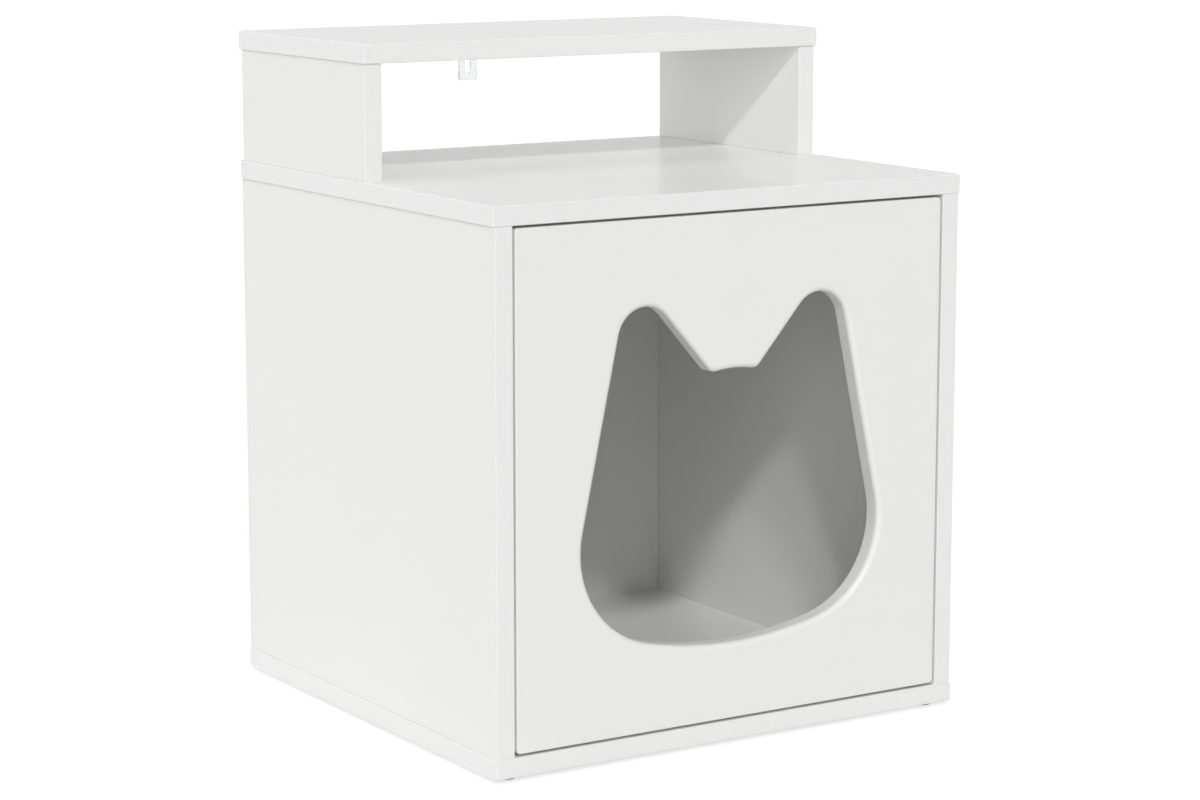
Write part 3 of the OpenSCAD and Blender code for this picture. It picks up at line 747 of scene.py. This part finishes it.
def arc(centre: Vector, r: float, a0: float, a1: float, steps: int, skip: int = 0) -> list[Point2]:
    """Points of an arc from a0 to a1 degrees, in so many chords, without the first few to skip."""
    turns = [math.radians(a0 + (a1 - a0) * i / steps) for i in range(skip, steps + 1)]
    return [(centre.x + r * math.cos(a), centre.y + r * math.sin(a)) for a in turns]


def rounded_frame(low: Point2, high: Point2, corner_r: float, inset: float) -> list[Point2]:
    """A rectangle with rounded corners, pulled in by an inset.

    Args:
        low: The lower left corner.
        high: The upper right corner.
        corner_r: The corners' radius before it is pulled in.
        inset: How far it is pulled in.

    Returns:
        Points from the upper right corner on, counter-clockwise.
    """
    (x0, z0), (x1, z1) = low, high
    r = max(corner_r - inset, SMALLEST_R)
    corners = ((x1, z1, 1, 1), (x0, z1, -1, 1), (x0, z0, -1, -1), (x1, z0, 1, -1))
    points = []
    for k, (x, z, sx, sz) in enumerate(corners):
        centre = Vector((x - sx * (r + inset), z - sz * (r + inset)))
        points += arc(centre, r, 90 * k, 90 * k + 90, CORNER_STEPS)
    return points


# Boards


class Banding(Enum):
    """Which edges of a board are banded and rounded."""

    ALL_ROUND = "all round"
    UPRIGHT = "upright edges"


@dataclass(frozen=True)
class Bore:
    """A countersunk bore that opens at a board's underside."""

    x: float
    y: float
    head_d: float = 10.3
    neck_d: float = 7.3
    head_h: float = 3.5
    rim_h: float = 0.05

    def cutter(self, z: float, depth: float) -> bpy.types.Object:
        """The bore as an object to cut with.

        Args:
            z: The underside's height.
            depth: The board's thickness.

        Returns:
            The cutter.
        """
        bench = MeshBench("bore_cutter", (Finishes.GLUE,))
        bench.turned((
            (self.head_d / 2, -OVERSHOOT_MM),
            (self.head_d / 2, self.rim_h),
            (self.neck_d / 2, self.head_h),
            (self.neck_d / 2, depth + OVERSHOOT_MM),
        ))
        bmesh.ops.translate(bench.bm, verts=bench.bm.verts, vec=Vector((self.x, self.y, z)) * MM)
        return bench.piece()


@dataclass(frozen=True)
class Board:
    """One coated board: two broad faces, banded edges and the glue line between them."""

    node: str
    low: Point3
    high: Point3
    banding: Banding
    bores: tuple[Bore, ...] = ()
    edge_r: float = 0.8
    edge_steps: int = 4
    end_break: float = 0.3
    glue_w: float = 0.12

    def build(self) -> None:
        """Builds the board in place of its CAD node."""
        bench = MeshBench(f"{self.node}.board", (Finishes.MELAMINE, Finishes.BAND, Finishes.GLUE))
        bm = bench.bm
        low, high = Vector(self.low) * MM, Vector(self.high) * MM
        size = high - low
        bmesh.ops.create_cube(bm, size=1.0)
        bmesh.ops.scale(bm, verts=bm.verts, vec=size)
        bmesh.ops.translate(bm, verts=bm.verts, vec=(low + high) / 2)
        if self.banding is Banding.ALL_ROUND:
            self._round(bm, list(bm.edges), self.edge_r, self.edge_steps)
        else:
            self._round(bm, [e for e in bm.edges if self._upright(e)], self.edge_r, self.edge_steps)
            ends = [e for e in bm.edges if self._level(e, low.z) or self._level(e, high.z)]
            self._round(bm, ends, self.end_break, BREAK_STEPS)
        thin = min(range(3), key=lambda axis: size[axis])
        half_face = size.x * size.y * size.z / size[thin] / 2
        broad = [f for f in bm.faces if abs(f.normal[thin]) > ALONG and f.calc_area() > half_face]
        for face in bm.faces:
            face.material_index = 0 if face in broad else 1
        seam = bmesh.ops.inset_region(bm, faces=broad, thickness=self.glue_w * MM, use_even_offset=True)
        for face in seam["faces"]:
            face.material_index = 2
        made = bench.piece()
        for bore in self.bores:
            carve(made, bore.cutter(self.low[2], size.z / MM))
        stand_for(made, "carcass", "board_white", self.node)

    @staticmethod
    def _round(bm: bmesh.types.BMesh, edges: Edges, radius: float, steps: int) -> None:
        """Rounds edges to a radius in millimetres."""
        bmesh.ops.bevel(bm, geom=edges, offset=radius * MM, segments=steps, profile=0.5, affect="EDGES")

    @staticmethod
    def _upright(edge: bmesh.types.BMEdge) -> bool:
        """True if the edge stands upright."""
        run = edge.verts[1].co - edge.verts[0].co
        return abs(run.z) > ALONG * run.length

    @staticmethod
    def _level(edge: bmesh.types.BMEdge, z: float) -> bool:
        """True if the edge lies at that height."""
        return all(abs(v.co.z - z) < WELD_MM * MM for v in edge.verts)


@dataclass(frozen=True)
class BackBoard:
    """The thin lacquered back with softly broken edges, bored for its nails."""

    sizes: Sizes = Sizes()
    nail_z: tuple[float, ...] = (48.5, 131.0, 213.5, 296.0, 378.5)
    head_d: float = 4.3
    head_h: float = 0.8
    neck_d: float = 1.75
    edge_r: float = 0.25
    edge_steps: int = 3
    corner_r: float = 0.6
    bore_steps: int = 32

    def build(self) -> None:
        """Builds the board in place of its CAD node."""
        s = self.sizes
        bench = MeshBench("back_panel.board", (Finishes.LACQUER,))
        turn = edge_turn(self.edge_r, self.edge_steps)
        rings = [bench.ring(self._frame(i, s.side_back_y + d)) for i, d in turn]
        rings += [bench.ring(self._frame(i, s.back_y - d)) for i, d in reversed(turn)]
        bench.skin(rings)
        seat_y = s.back_y - self.head_h
        neck = ((self.neck_d, s.side_back_y), (self.neck_d, seat_y))
        head = ((self.head_d, seat_y), (self.head_d, s.back_y))
        fronts, mouths = [], []
        for centre in (Vector((k * s.side_x, z)) for k in (-1, 1) for z in self.nail_z):
            bore = [bench.ring(self._bore(centre, d, y)) for d, y in neck + head]
            bench.skin(bore)
            fronts.append(bore[0])
            mouths.append(bore[-1])
        bench.fill([rings[0], *fronts])
        bench.fill([rings[-1], *mouths])
        stand_for(bench.piece(), "carcass", "back_white", "back_panel")

    def _frame(self, inset: float, y: float) -> list[Vector]:
        """The board's outline.

        Args:
            inset: How far it is pulled in.
            y: Its depth in the cabinet.

        Returns:
            The outline's points.
        """
        s = self.sizes
        low, high = (-s.outer_x, s.floor_z), (s.outer_x, s.under_top_z)
        return [Vector((x, y, z)) for x, z in rounded_frame(low, high, self.corner_r, inset)]

    def _bore(self, centre: Vector, size: float, y: float) -> list[Vector]:
        """A circle round a nail, at a depth."""
        return [Vector((x, y, z)) for x, z in arc(centre, size / 2, 0, 360, self.bore_steps, skip=1)]


@dataclass
class Carcass:
    """The cabinet's boards: base, sides, lower top, riser and back."""

    sizes: Sizes = Sizes()

    def build(self) -> None:
        """Builds the boards with banded edges and the back."""
        s = self.sizes
        for node, front_y, z, screw_y in (
            ("base_panel", s.front_y, s.base_z, s.base_screw_y),
            ("top_panel", s.front_y, s.under_top_z, s.riser_screw_y),
            ("riser_shelf", s.shelf_front_y, s.under_shelf_z, ()),
        ):
            bores = tuple(Bore(k * s.side_x, y) for k in (-1, 1) for y in screw_y)
            low, high = (-s.width / 2, front_y, z), (s.width / 2, s.back_y, z + s.board)
            Board(node, low, high, Banding.ALL_ROUND, bores).build()
        for side, sign in (("left", -1), ("right", 1)):
            x0, x1 = sorted((sign * s.inner_x, sign * s.outer_x))
            for node, y, low_z, high_z in (
                (f"{side}_side_panel", s.front_y, s.floor_z, s.under_top_z),
                (f"riser_{side}_side", s.shelf_front_y + s.riser_setback, s.top_z, s.under_shelf_z),
            ):
                Board(node, (x0, y, low_z), (x1, s.side_back_y, high_z), Banding.UPRIGHT).build()
        BackBoard().build()


# The door


@dataclass(frozen=True)
class CatOpening:
    """The cat's head: chin, cheeks, ear tips, bends and crown as arcs of chords that meet in tangents."""

    width: float = 270.5
    height: float = 262.0
    chin_z: float = 79.5
    cheek_h: float = 83.0
    cheek_r: float = 76.0
    ear_x: float = 78.75
    ear_r: float = 24.3
    crown_h: float = 210.0
    crown_r: float = 91.0
    bend_x: float = 17.2
    bend_r: float = 8.0
    lip_r: float = 4.5
    chords: tuple[int, int, int, int, int] = (24, 48, 40, 14, 8)

    def outline(self, growth: float) -> list[Point2]:
        """The whole outline as X and Z, so far outside the through opening."""
        half = self._half(growth)
        return half + [(-x, z) for x, z in half[-2:0:-1]]

    def _half(self, growth: float) -> list[Point2]:
        """The right half of the outline, from the chin to the crown.

        Args:
            growth: How far it stands outside the through opening.

        Returns:
            Points as X and Z.
        """
        cheek = Vector((self.width / 2 - self.cheek_r, self.chin_z + self.cheek_h))
        chin_r = (cheek.x**2 + self.cheek_h**2 - self.cheek_r**2) / (2 * (self.cheek_h - self.cheek_r))
        chin = Vector((0.0, self.chin_z + chin_r))
        ear = Vector((self.ear_x, self.chin_z + self.height - self.ear_r))
        crown = Vector((0.0, self.chin_z + self.crown_h - self.crown_r))
        rise = math.sqrt((self.crown_r + self.bend_r) ** 2 - self.bend_x**2)
        bend = crown + Vector((self.bend_x, rise))
        up, over = ear - cheek, ear - bend
        chin_a = self._angle(cheek - chin)
        side_a = self._angle(up) - 90 + math.degrees(math.asin((self.cheek_r - self.ear_r) / up.length))
        turn = math.degrees(math.acos((self.ear_r + self.bend_r) / over.length))
        ear_a = 180 + self._angle(over) - turn
        crown_a = self._angle(bend - crown)
        chin_n, cheek_n, ear_n, bend_n, crown_n = self.chords
        return [
            *arc(chin, chin_r + growth, -90, chin_a, chin_n),
            *arc(cheek, self.cheek_r + growth, chin_a, side_a, cheek_n, skip=1),
            *arc(ear, self.ear_r + growth, side_a, ear_a, ear_n),
            *arc(bend, self.bend_r - growth, ear_a - 180, crown_a - 180, bend_n),
            *arc(crown, self.crown_r + growth, crown_a, 90, crown_n, skip=1),
        ]

    @staticmethod
    def _angle(v: Vector) -> float:
        """The direction of a vector, in degrees."""
        return math.degrees(math.atan2(v.y, v.x))


@dataclass
class DoorLeaf:
    """The foil-wrapped door with its cat-shaped opening, soft edges and cup bores."""

    sizes: Sizes = Sizes()
    opening: CatOpening = CatOpening()
    front_edge_r: float = 1.2
    back_edge_r: float = 0.5
    edge_steps: int = 8
    cup_steps: int = 72

    def build(self) -> None:
        """Builds the door in place of its CAD node."""
        bench = MeshBench("door_panel.leaf", (Finishes.FOIL, Finishes.MELAMINE))
        door, steps = self.sizes.door, self.edge_steps
        back_turn = edge_turn(self.back_edge_r, steps)[::-1]
        outside = [bench.ring(self._frame(i, d)) for i, d in edge_turn(self.front_edge_r, steps)]
        outside += [bench.ring(self._frame(i, door - d)) for i, d in back_turn]
        inside = [bench.ring(self._cat(g, d)) for g, d in edge_turn(self.opening.lip_r, steps)]
        inside += [bench.ring(self._cat(g, door - d)) for g, d in back_turn]
        bench.skin(outside)
        bench.skin(inside)
        bench.fill([outside[0], inside[0]])
        mouths = []
        for z in self.sizes.hinge_z:
            mouth, floor = (bench.ring(self._cup(z, d)) for d in (door, door - self.sizes.cup_depth))
            bench.skin([mouth, floor], 1)
            bench.bm.faces.new(floor).material_index = 1
            mouths.append(mouth)
        bench.fill([outside[-1], inside[-1], *mouths], 1)
        stand_for(bench.piece(), "door", "door_white", "door_panel")

    def _at(self, points: list[Point2], depth: float) -> list[Vector]:
        """Puts points of X and Z at a depth behind the door's front."""
        return [Vector((x, self.sizes.front_y + depth, z)) for x, z in points]

    def _frame(self, inset: float, depth: float) -> list[Vector]:
        """The door's outline, pulled in by an inset."""
        s = self.sizes
        return self._at(rounded_frame(s.door_low, s.door_high, s.door_corner_r, inset), depth)

    def _cat(self, growth: float, depth: float) -> list[Vector]:
        """The opening's outline, grown outwards."""
        return self._at(self.opening.outline(growth), depth)

    def _cup(self, z: float, depth: float) -> list[Vector]:
        """The rim of a hinge cup's bore."""
        centre = Vector((self.sizes.door_high[0] - self.sizes.cup_in, z))
        return self._at(arc(centre, self.sizes.cup_d / 2, 0, 360, self.cup_steps, skip=1), depth)


# Fittings


class Drive(Enum):
    """The recess in a screw's head, which narrows in levels of reach, half width of an arm and depth."""

    CROSS = ((1.85, 0.48, -0.5), (1.7, 0.45, 0.0), (0.75, 0.3, 1.5))
    HEX = ((2.0, 0.0, -0.5), (2.0, 0.0, 2.6), (0.6, 0.0, 3.2))

    def corners(self, reach: float, half: float) -> list[Point2]:
        """Corners of a level.

        Args:
            reach: How far it reaches from the middle.
            half: Half the width of a cross's arm.

        Returns:
            The corners.
        """
        if self is Drive.CROSS:
            arm, count = ((reach, -half), (reach, half), (half, half)), 4
        else:
            arm, count = ((reach, 0.0),), 6
        turns = [Matrix.Rotation(2.0 * math.pi * k / count, 2) for k in range(count)]
        return [tuple(turn @ Vector(p)) for turn in turns for p in arm]


@dataclass(frozen=True)
class Screw:
    """A screw along +Z with its head's seat at height 0 and a recess in the head."""

    name: str
    profile: tuple[Point2, ...]
    drive: Drive
    face_z: float
    finish: Finish = Finishes.ZINC

    def mesh(self) -> bpy.types.Mesh:
        """The screw's mesh, with its recess cut.

        Returns:
            A mesh to copy.
        """
        body, recess = (MeshBench(name, (self.finish,)) for name in (self.name, "recess"))
        body.turned(self.profile)
        levels = [(self.drive.corners(reach, half), self.face_z + z) for reach, half, z in self.drive.value]
        recess.solid([recess.ring([Vector((*p, z)) for p in corners]) for corners, z in levels])
        made = body.piece()
        carve(made, recess.piece())
        mesh = made.data
        bpy.data.objects.remove(made)
        return mesh


@dataclass(frozen=True)
class PanHead:
    """A screw's rounded head: a nearly flat middle, a dome round it and a fine rim at the seat."""

    width: float = 6.6
    height: float = 1.9
    flat_share: float = 0.62
    dome_share: float = 0.6
    dome_step_deg: int = 15
    rim: float = 0.05
    point_r: float = 0.3

    def screw(self, name: str, length: float, shank_d: float = 3.5) -> Screw:
        """A screw with this head and a cross recess.

        Args:
            name: The screw's name.
            length: Its length under the head.
            shank_d: Diameter of its shank.

        Returns:
            The screw.
        """
        r, shank_r = self.width / 2, shank_d / 2
        flat = self.flat_share * r
        rise = self.height * self.dome_share
        turns = [math.radians(a) for a in range(0, 91, self.dome_step_deg)]
        dome = [(flat + (r - flat) * math.sin(a), rise * (1 - math.cos(a)) - self.height) for a in turns]
        seat = ((r, -self.rim), (r - 2 * self.rim, 0.0), (shank_r, 0.0))
        tip = ((shank_r, length - shank_r), (self.point_r, length))
        return Screw(name, ((flat / 2, -self.height), *dome, *seat, *tip), Drive.CROSS, -self.height)


@dataclass(frozen=True)
class ScrewSet:
    """Equal screws that stand for one CAD node, each turned a little differently."""

    node: str
    screw: Screw
    places: tuple[Point3, ...]
    axis: Point3
    body: str = "carcass"
    first_turn: float = 23.0
    next_turn: float = 31.0

    def build(self) -> None:
        """Copies the screw to its places, as one object."""
        source = self.screw.mesh()
        bench = MeshBench(f"{self.node}.set", (self.screw.finish,))
        lie = Vector((0.0, 0.0, 1.0)).rotation_difference(Vector(self.axis)).to_matrix().to_4x4()
        for i, place in enumerate(self.places):
            turn = Matrix.Rotation(math.radians(self.first_turn + self.next_turn * i), 4, "Z")
            copy = source.copy()
            copy.transform(Matrix.Translation(Vector(place) * MM) @ lie @ turn)
            bench.bm.from_mesh(copy)
            bpy.data.meshes.remove(copy)
        bpy.data.meshes.remove(source)
        stand_for(bench.piece(), self.body, "screw_steel", self.node)


@dataclass
class Fixings:
    """Every screw with a head that shows when the cabinet is turned or its door opened."""

    sizes: Sizes = Sizes()
    flange_t: float = 1.2
    cup_screw_gap: float = 45.0
    cup_screw_back: float = 9.5
    plate_in: float = 37.0
    plate_t: float = 2.2
    plate_screw_gap: float = 32.0
    arm_web_x: float = -9.3
    arm_screw_in: Point2 = (31.0, 48.0)
    bracket_x: float = 2.0
    bracket_t: float = 2.0
    bracket_leg: float = 26.0
    connecting: tuple[Point2, ...] = (
        (4.0, 0.0), (4.9, 0.0), (5.0, 0.1), (3.5, 3.5), (3.5, 13.0), (2.5, 14.0), (2.5, 46.0), (0.3, 50.0)
    )

    def build(self) -> None:
        """Builds the sets of screws."""
        s = self.sizes
        back = s.front_y + s.door
        cup_x = s.door_high[0] - s.cup_in - self.cup_screw_back
        cups = self._by_hinges(cup_x, back + self.flange_t, self.cup_screw_gap)
        plates = self._by_hinges(s.inner_x - self.plate_t, back + self.plate_in, self.plate_screw_gap)
        arms = tuple((s.inner_x + self.arm_web_x, back + y, z) for z in s.hinge_z for y in self.arm_screw_in)
        bracket_y = s.back_y - self.bracket_leg / 2 - self.bracket_t
        bracket = ((self.bracket_x, bracket_y, s.under_shelf_z - self.bracket_t),)
        head, right, up = PanHead(), (1, 0, 0), (0, 0, 1)
        arm_screw = PanHead(width=6.4, height=1.8).screw("arm_screw", length=5.3, shank_d=4.0)
        for group in (
            ScrewSet("hinge_cup_screws", head.screw("cup_screw", length=10.0), cups, (0, -1, 0), "door"),
            ScrewSet("hinge_plate_screws", head.screw("plate_screw", length=12.0), plates, right),
            ScrewSet("hinge_arm_screws", arm_screw, arms, right),
            ScrewSet("wall_bracket_screw", head.screw("bracket_screw", length=11.0), bracket, up),
            self._connectors("base_screw", s.base_screw_y, s.base_z),
            self._connectors("riser_screw", s.riser_screw_y, s.under_top_z),
        ):
            group.build()

    def _by_hinges(self, x: float, y: float, gap: float) -> tuple[Point3, ...]:
        """Places below and above the middle of each hinge, a gap apart."""
        return tuple((x, y, z + k * gap / 2) for z in self.sizes.hinge_z for k in (-1, 1))

    def _connectors(self, name: str, ys: Point2, z: float) -> ScrewSet:
        """Countersunk connecting screws with a hexagon recess, upwards into both side boards."""
        places = tuple((k * self.sizes.side_x, y, z) for k in (-1, 1) for y in ys)
        return ScrewSet(f"{name}s", Screw(name, self.connecting, Drive.HEX, 0.0), places, (0, 0, 1))


@dataclass(frozen=True)
class Fitting:
    """A fitting in its CAD shape, welded, with its outer edges broken."""

    node: str
    slot: str
    finish: Finish
    broken_mm: float = 0.12

    def build(self) -> None:
        """Builds the fitting in place of its CAD node."""
        shape = frame["nodes"][self.node]
        bench = MeshBench(f"{self.node}.fitting", (self.finish,))
        bm = bench.bm
        bm.from_mesh(shape.data)
        bmesh.ops.remove_doubles(bm, verts=bm.verts, dist=WELD_MM * MM)
        bmesh.ops.dissolve_limit(bm, angle_limit=math.radians(FLAT_DEG), verts=bm.verts, edges=bm.edges)
        bmesh.ops.recalc_face_normals(bm, faces=bm.faces)
        for face in bm.faces:
            face.material_index = 0
        for chain in self._chains(bm):
            self._break(bm, chain)
        stand_for(bench.piece(), shape.parent.name.removeprefix("body:"), self.slot, self.node)

    @staticmethod
    def _chains(bm: bmesh.types.BMesh) -> list[Edges]:
        """The outer sharp edges, in groups that touch.

        Args:
            bm: The fitting's mesh.

        Returns:
            The groups, in the order of their first edges.
        """
        limit = math.radians(SHARP_DEG)
        bm.edges.index_update()
        inner = {e for e in bm.edges if len(e.link_faces) == 2}
        left = {e for e in inner if e.is_convex and e.calc_face_angle(0.0) > limit}
        chains = []
        while left:
            chain, queue = [], [left.pop()]
            while queue:
                edge = queue.pop()
                chain.append(edge)
                near = {e for v in edge.verts for e in v.link_edges} & left
                left -= near
                queue += near
            chains.append(sorted(chain, key=lambda e: e.index))
        return sorted(chains, key=lambda chain: chain[0].index)

    def _break(self, bm: bmesh.types.BMesh, chain: Edges) -> None:
        """Rounds a group of edges as far as the faces beside it leave room.

        Args:
            bm: The fitting's mesh.
            chain: The group.
        """
        verts = {v for e in chain for v in e.verts}
        inside = set(chain)
        beside = [e.calc_length() for v in verts for e in v.link_edges if e not in inside]
        width = min(self.broken_mm * MM, ROOM * min(beside, default=self.broken_mm * MM))
        if width > SMALLEST_BREAK_MM * MM:
            bmesh.ops.bevel(bm, geom=chain, offset=width, segments=BREAK_STEPS, profile=0.5, affect="EDGES")


@dataclass
class Hardware:
    """The fittings in their CAD shape: hinges, cams, nails, dowels, glides and bracket."""

    cap_break: float = 0.2
    bracket_break: float = 0.3
    foot_break: float = 0.4
    dowel_break: float = 0.4

    def build(self) -> None:
        """Builds every fitting."""
        parts = ("hinge_cup", "outer_links", "inner_link", "hinge_arm", "hinge_plate")
        hinges = [f"{level}_{part}" for part in parts for level in ("upper", "lower")]
        for node in hinges:
            Fitting(node, "hinge_steel", Finishes.NICKEL).build()
        for corner in ("front_left", "front_right", "back_left", "back_right"):
            Fitting(f"foot_{corner}", "foot_black", Finishes.GLIDE, self.foot_break).build()
        for node in ("hinge_cup_pins", "hinge_arm_pins"):
            Fitting(node, "hinge_steel", Finishes.NICKEL).build()
        Fitting("cam_bolts", "screw_steel", Finishes.ZINC).build()
        Fitting("cam_locks", "cam_zinc", Finishes.DIE_CAST).build()
        Fitting("cam_caps", "cap_white", Finishes.CAP, self.cap_break).build()
        for node in ("back_nails", "foot_nails"):
            Fitting(node, "screw_steel", Finishes.ZINC).build()
        Fitting("wall_bracket", "bracket_clear", Finishes.CLEAR, self.bracket_break).build()
        for joint in ("base", "top", "riser", "shelf"):
            Fitting(f"{joint}_dowels", "dowel_wood", Finishes.BEECH, self.dowel_break).build()


# Studio


@dataclass(frozen=True)
class SoftLight:
    """A soft light from far away; its level is what it adds to a white surface that faces it."""

    name: str
    level: float
    left_deg: float
    up_deg: float
    softness_deg: float
    mirrored: bool = True
    distance: float = 3.0

    def build(self) -> None:
        """Makes the light and turns it to the cabinet."""
        data = bpy.data.lights.new(self.name, "SUN")
        data.energy = self.level * math.pi
        data.angle = math.radians(self.softness_deg)
        left, up = math.radians(self.left_deg), math.radians(self.up_deg)
        source = Vector((-math.sin(left) * math.cos(up), -math.cos(left) * math.cos(up), math.sin(up)))
        lamp = bpy.data.objects.new(self.name, data)
        lamp.rotation_euler = source.to_track_quat("Z", "Y").to_euler()
        lamp.location = source * self.distance
        lamp.visible_glossy = self.mirrored
        bpy.context.scene.collection.objects.link(lamp)


@dataclass
class Studio:
    """A white floor and backdrop, an even white surround, two key lights and wide soft boxes."""

    surround: float = 0.13
    mirrored: float = 0.79
    lights: tuple[SoftLight, ...] = (
        SoftLight("key_light", 0.225, 27.0, 35.0, 4.0),
        SoftLight("high_key_light", 0.252, 21.0, 37.0, 4.0),
        SoftLight("low_front_box", 0.178, 43.0, 8.0, 36.0),
        SoftLight("left_box", 0.13, 90.0, 5.0, 35.0),
        SoftLight("top_box", 0.265, 0.0, 90.0, 50.0),
        SoftLight("back_box", 0.29, 150.0, 20.0, 60.0, mirrored=False),
        SoftLight("right_box", 0.3, -95.0, 2.0, 40.0, mirrored=False),
    )
    floor_r: float = 14000.0
    floor_steps: int = 64
    floor_white: float = 0.7
    floor_shade: float = 0.42
    floor_plain: float = 0.8

    def build(self) -> None:
        """Builds the surround, the lights and the floor."""
        self._surround()
        for light in self.lights:
            light.build()
        self._floor()
        LOG.info("studio ready")

    @staticmethod
    def _seen(bench: NodeBench, mirrored: float) -> Wire:
        """1 where the camera sees a thing straight or through something clear, less in a reflection.

        Args:
            bench: The bench of the tree.
            mirrored: What a reflection gives.

        Returns:
            The value.
        """
        path = bench.node("ShaderNodeLightPath")
        rays = ("Is Camera Ray", "Is Glossy Ray", "Is Transmission Ray")
        camera, glossy, through = (Wire(bench, path.outputs[name]) for name in rays)
        return camera.at_least(through).at_least(glossy * mirrored)

    def _surround(self) -> None:
        """Lights the scene evenly and shows white behind it."""
        world = bpy.data.worlds.new("white_surround")
        world.use_nodes = True
        bpy.context.scene.world = world
        bench = NodeBench(world.node_tree)
        strength = self._seen(bench, self.mirrored).at_least(self.surround)
        light = bench.wire("ShaderNodeBackground", {}, {"Color": EVEN, "Strength": strength})
        bench.node("ShaderNodeOutputWorld", {}, {"Surface": light})

    def _floor(self) -> None:
        """A round floor that looks white and keeps the shadow."""
        bench = MeshBench("studio_floor")
        points = arc(AXIS, self.floor_r, 0, 360, self.floor_steps, skip=1)
        bench.bm.faces.new(bench.ring([Vector((*p, 0.0)) for p in points]))
        floor = bench.piece()
        material = bpy.data.materials.new("studio_floor_white")
        material.use_nodes = True
        nodes = NodeBench(material.node_tree)
        plain = nodes.wire("ShaderNodeBsdfDiffuse", {}, {"Color": (self.floor_plain,) * 3})
        shade = nodes.wire("ShaderNodeBsdfDiffuse", {}, {"Color": (self.floor_shade,) * 3})
        glow = nodes.wire("ShaderNodeEmission", {}, {"Color": EVEN, "Strength": self.floor_white})
        shown = nodes.wire("ShaderNodeAddShader", {}, {0: shade, 1: glow})
        surface = nodes.wire("ShaderNodeMixShader", {}, {0: self._seen(nodes, 1.0), 1: plain, 2: shown})
        nodes.node("ShaderNodeOutputMaterial", {}, {"Surface": surface})
        floor.data.materials.append(material)
        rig.stage(floor)


@dataclass(frozen=True)
class PhotoCamera:
    """The camera at the photograph's viewing angle."""

    place: Point3 = (-1.36146, -2.14808, 0.67751)
    down: float = 0.1718
    turn: float = -0.5672
    lens: float = 96.70
    sensor: float = 36.0

    def build(self) -> None:
        """Makes the camera and puts it in the scene."""
        data = bpy.data.cameras.new("photo_camera")
        data.sensor_width, data.sensor_fit, data.lens = self.sensor, "HORIZONTAL", self.lens
        camera = bpy.data.objects.new("photo_camera", data)
        camera.location = self.place
        camera.rotation_euler = (math.pi / 2 - self.down, 0.0, self.turn)
        bpy.context.scene.collection.objects.link(camera)
        bpy.context.scene.camera = camera


@dataclass(frozen=True)
class SizeCheck:
    """The CAD model's box and the dressed model's."""

    cad: tuple[Vector, Vector]

    def write(self, path: str) -> None:
        """Writes both boxes.

        Args:
            path: The file to write.
        """
        boxes = {"cad": self.cad, "visual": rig.bounds()}
        plain = {name: [list(corner) for corner in corners] for name, corners in boxes.items()}
        with open(path, "w") as out:
            json.dump(plain, out)
        LOG.info("sizes %s", plain)


def main() -> None:
    """Builds the cat house and its studio."""
    logging.basicConfig(level=logging.INFO, format="%(name)s: %(message)s")
    sizes = SizeCheck(tuple(Vector(corner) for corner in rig.bounds()))
    bpy.context.scene.view_settings.view_transform = "Standard"
    PhotoCamera().build()
    Carcass().build()
    DoorLeaf().build()
    Fixings().build()
    Hardware().build()
    Studio().build()
    sizes.write("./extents.json")


if __name__ == "__main__":
    main()
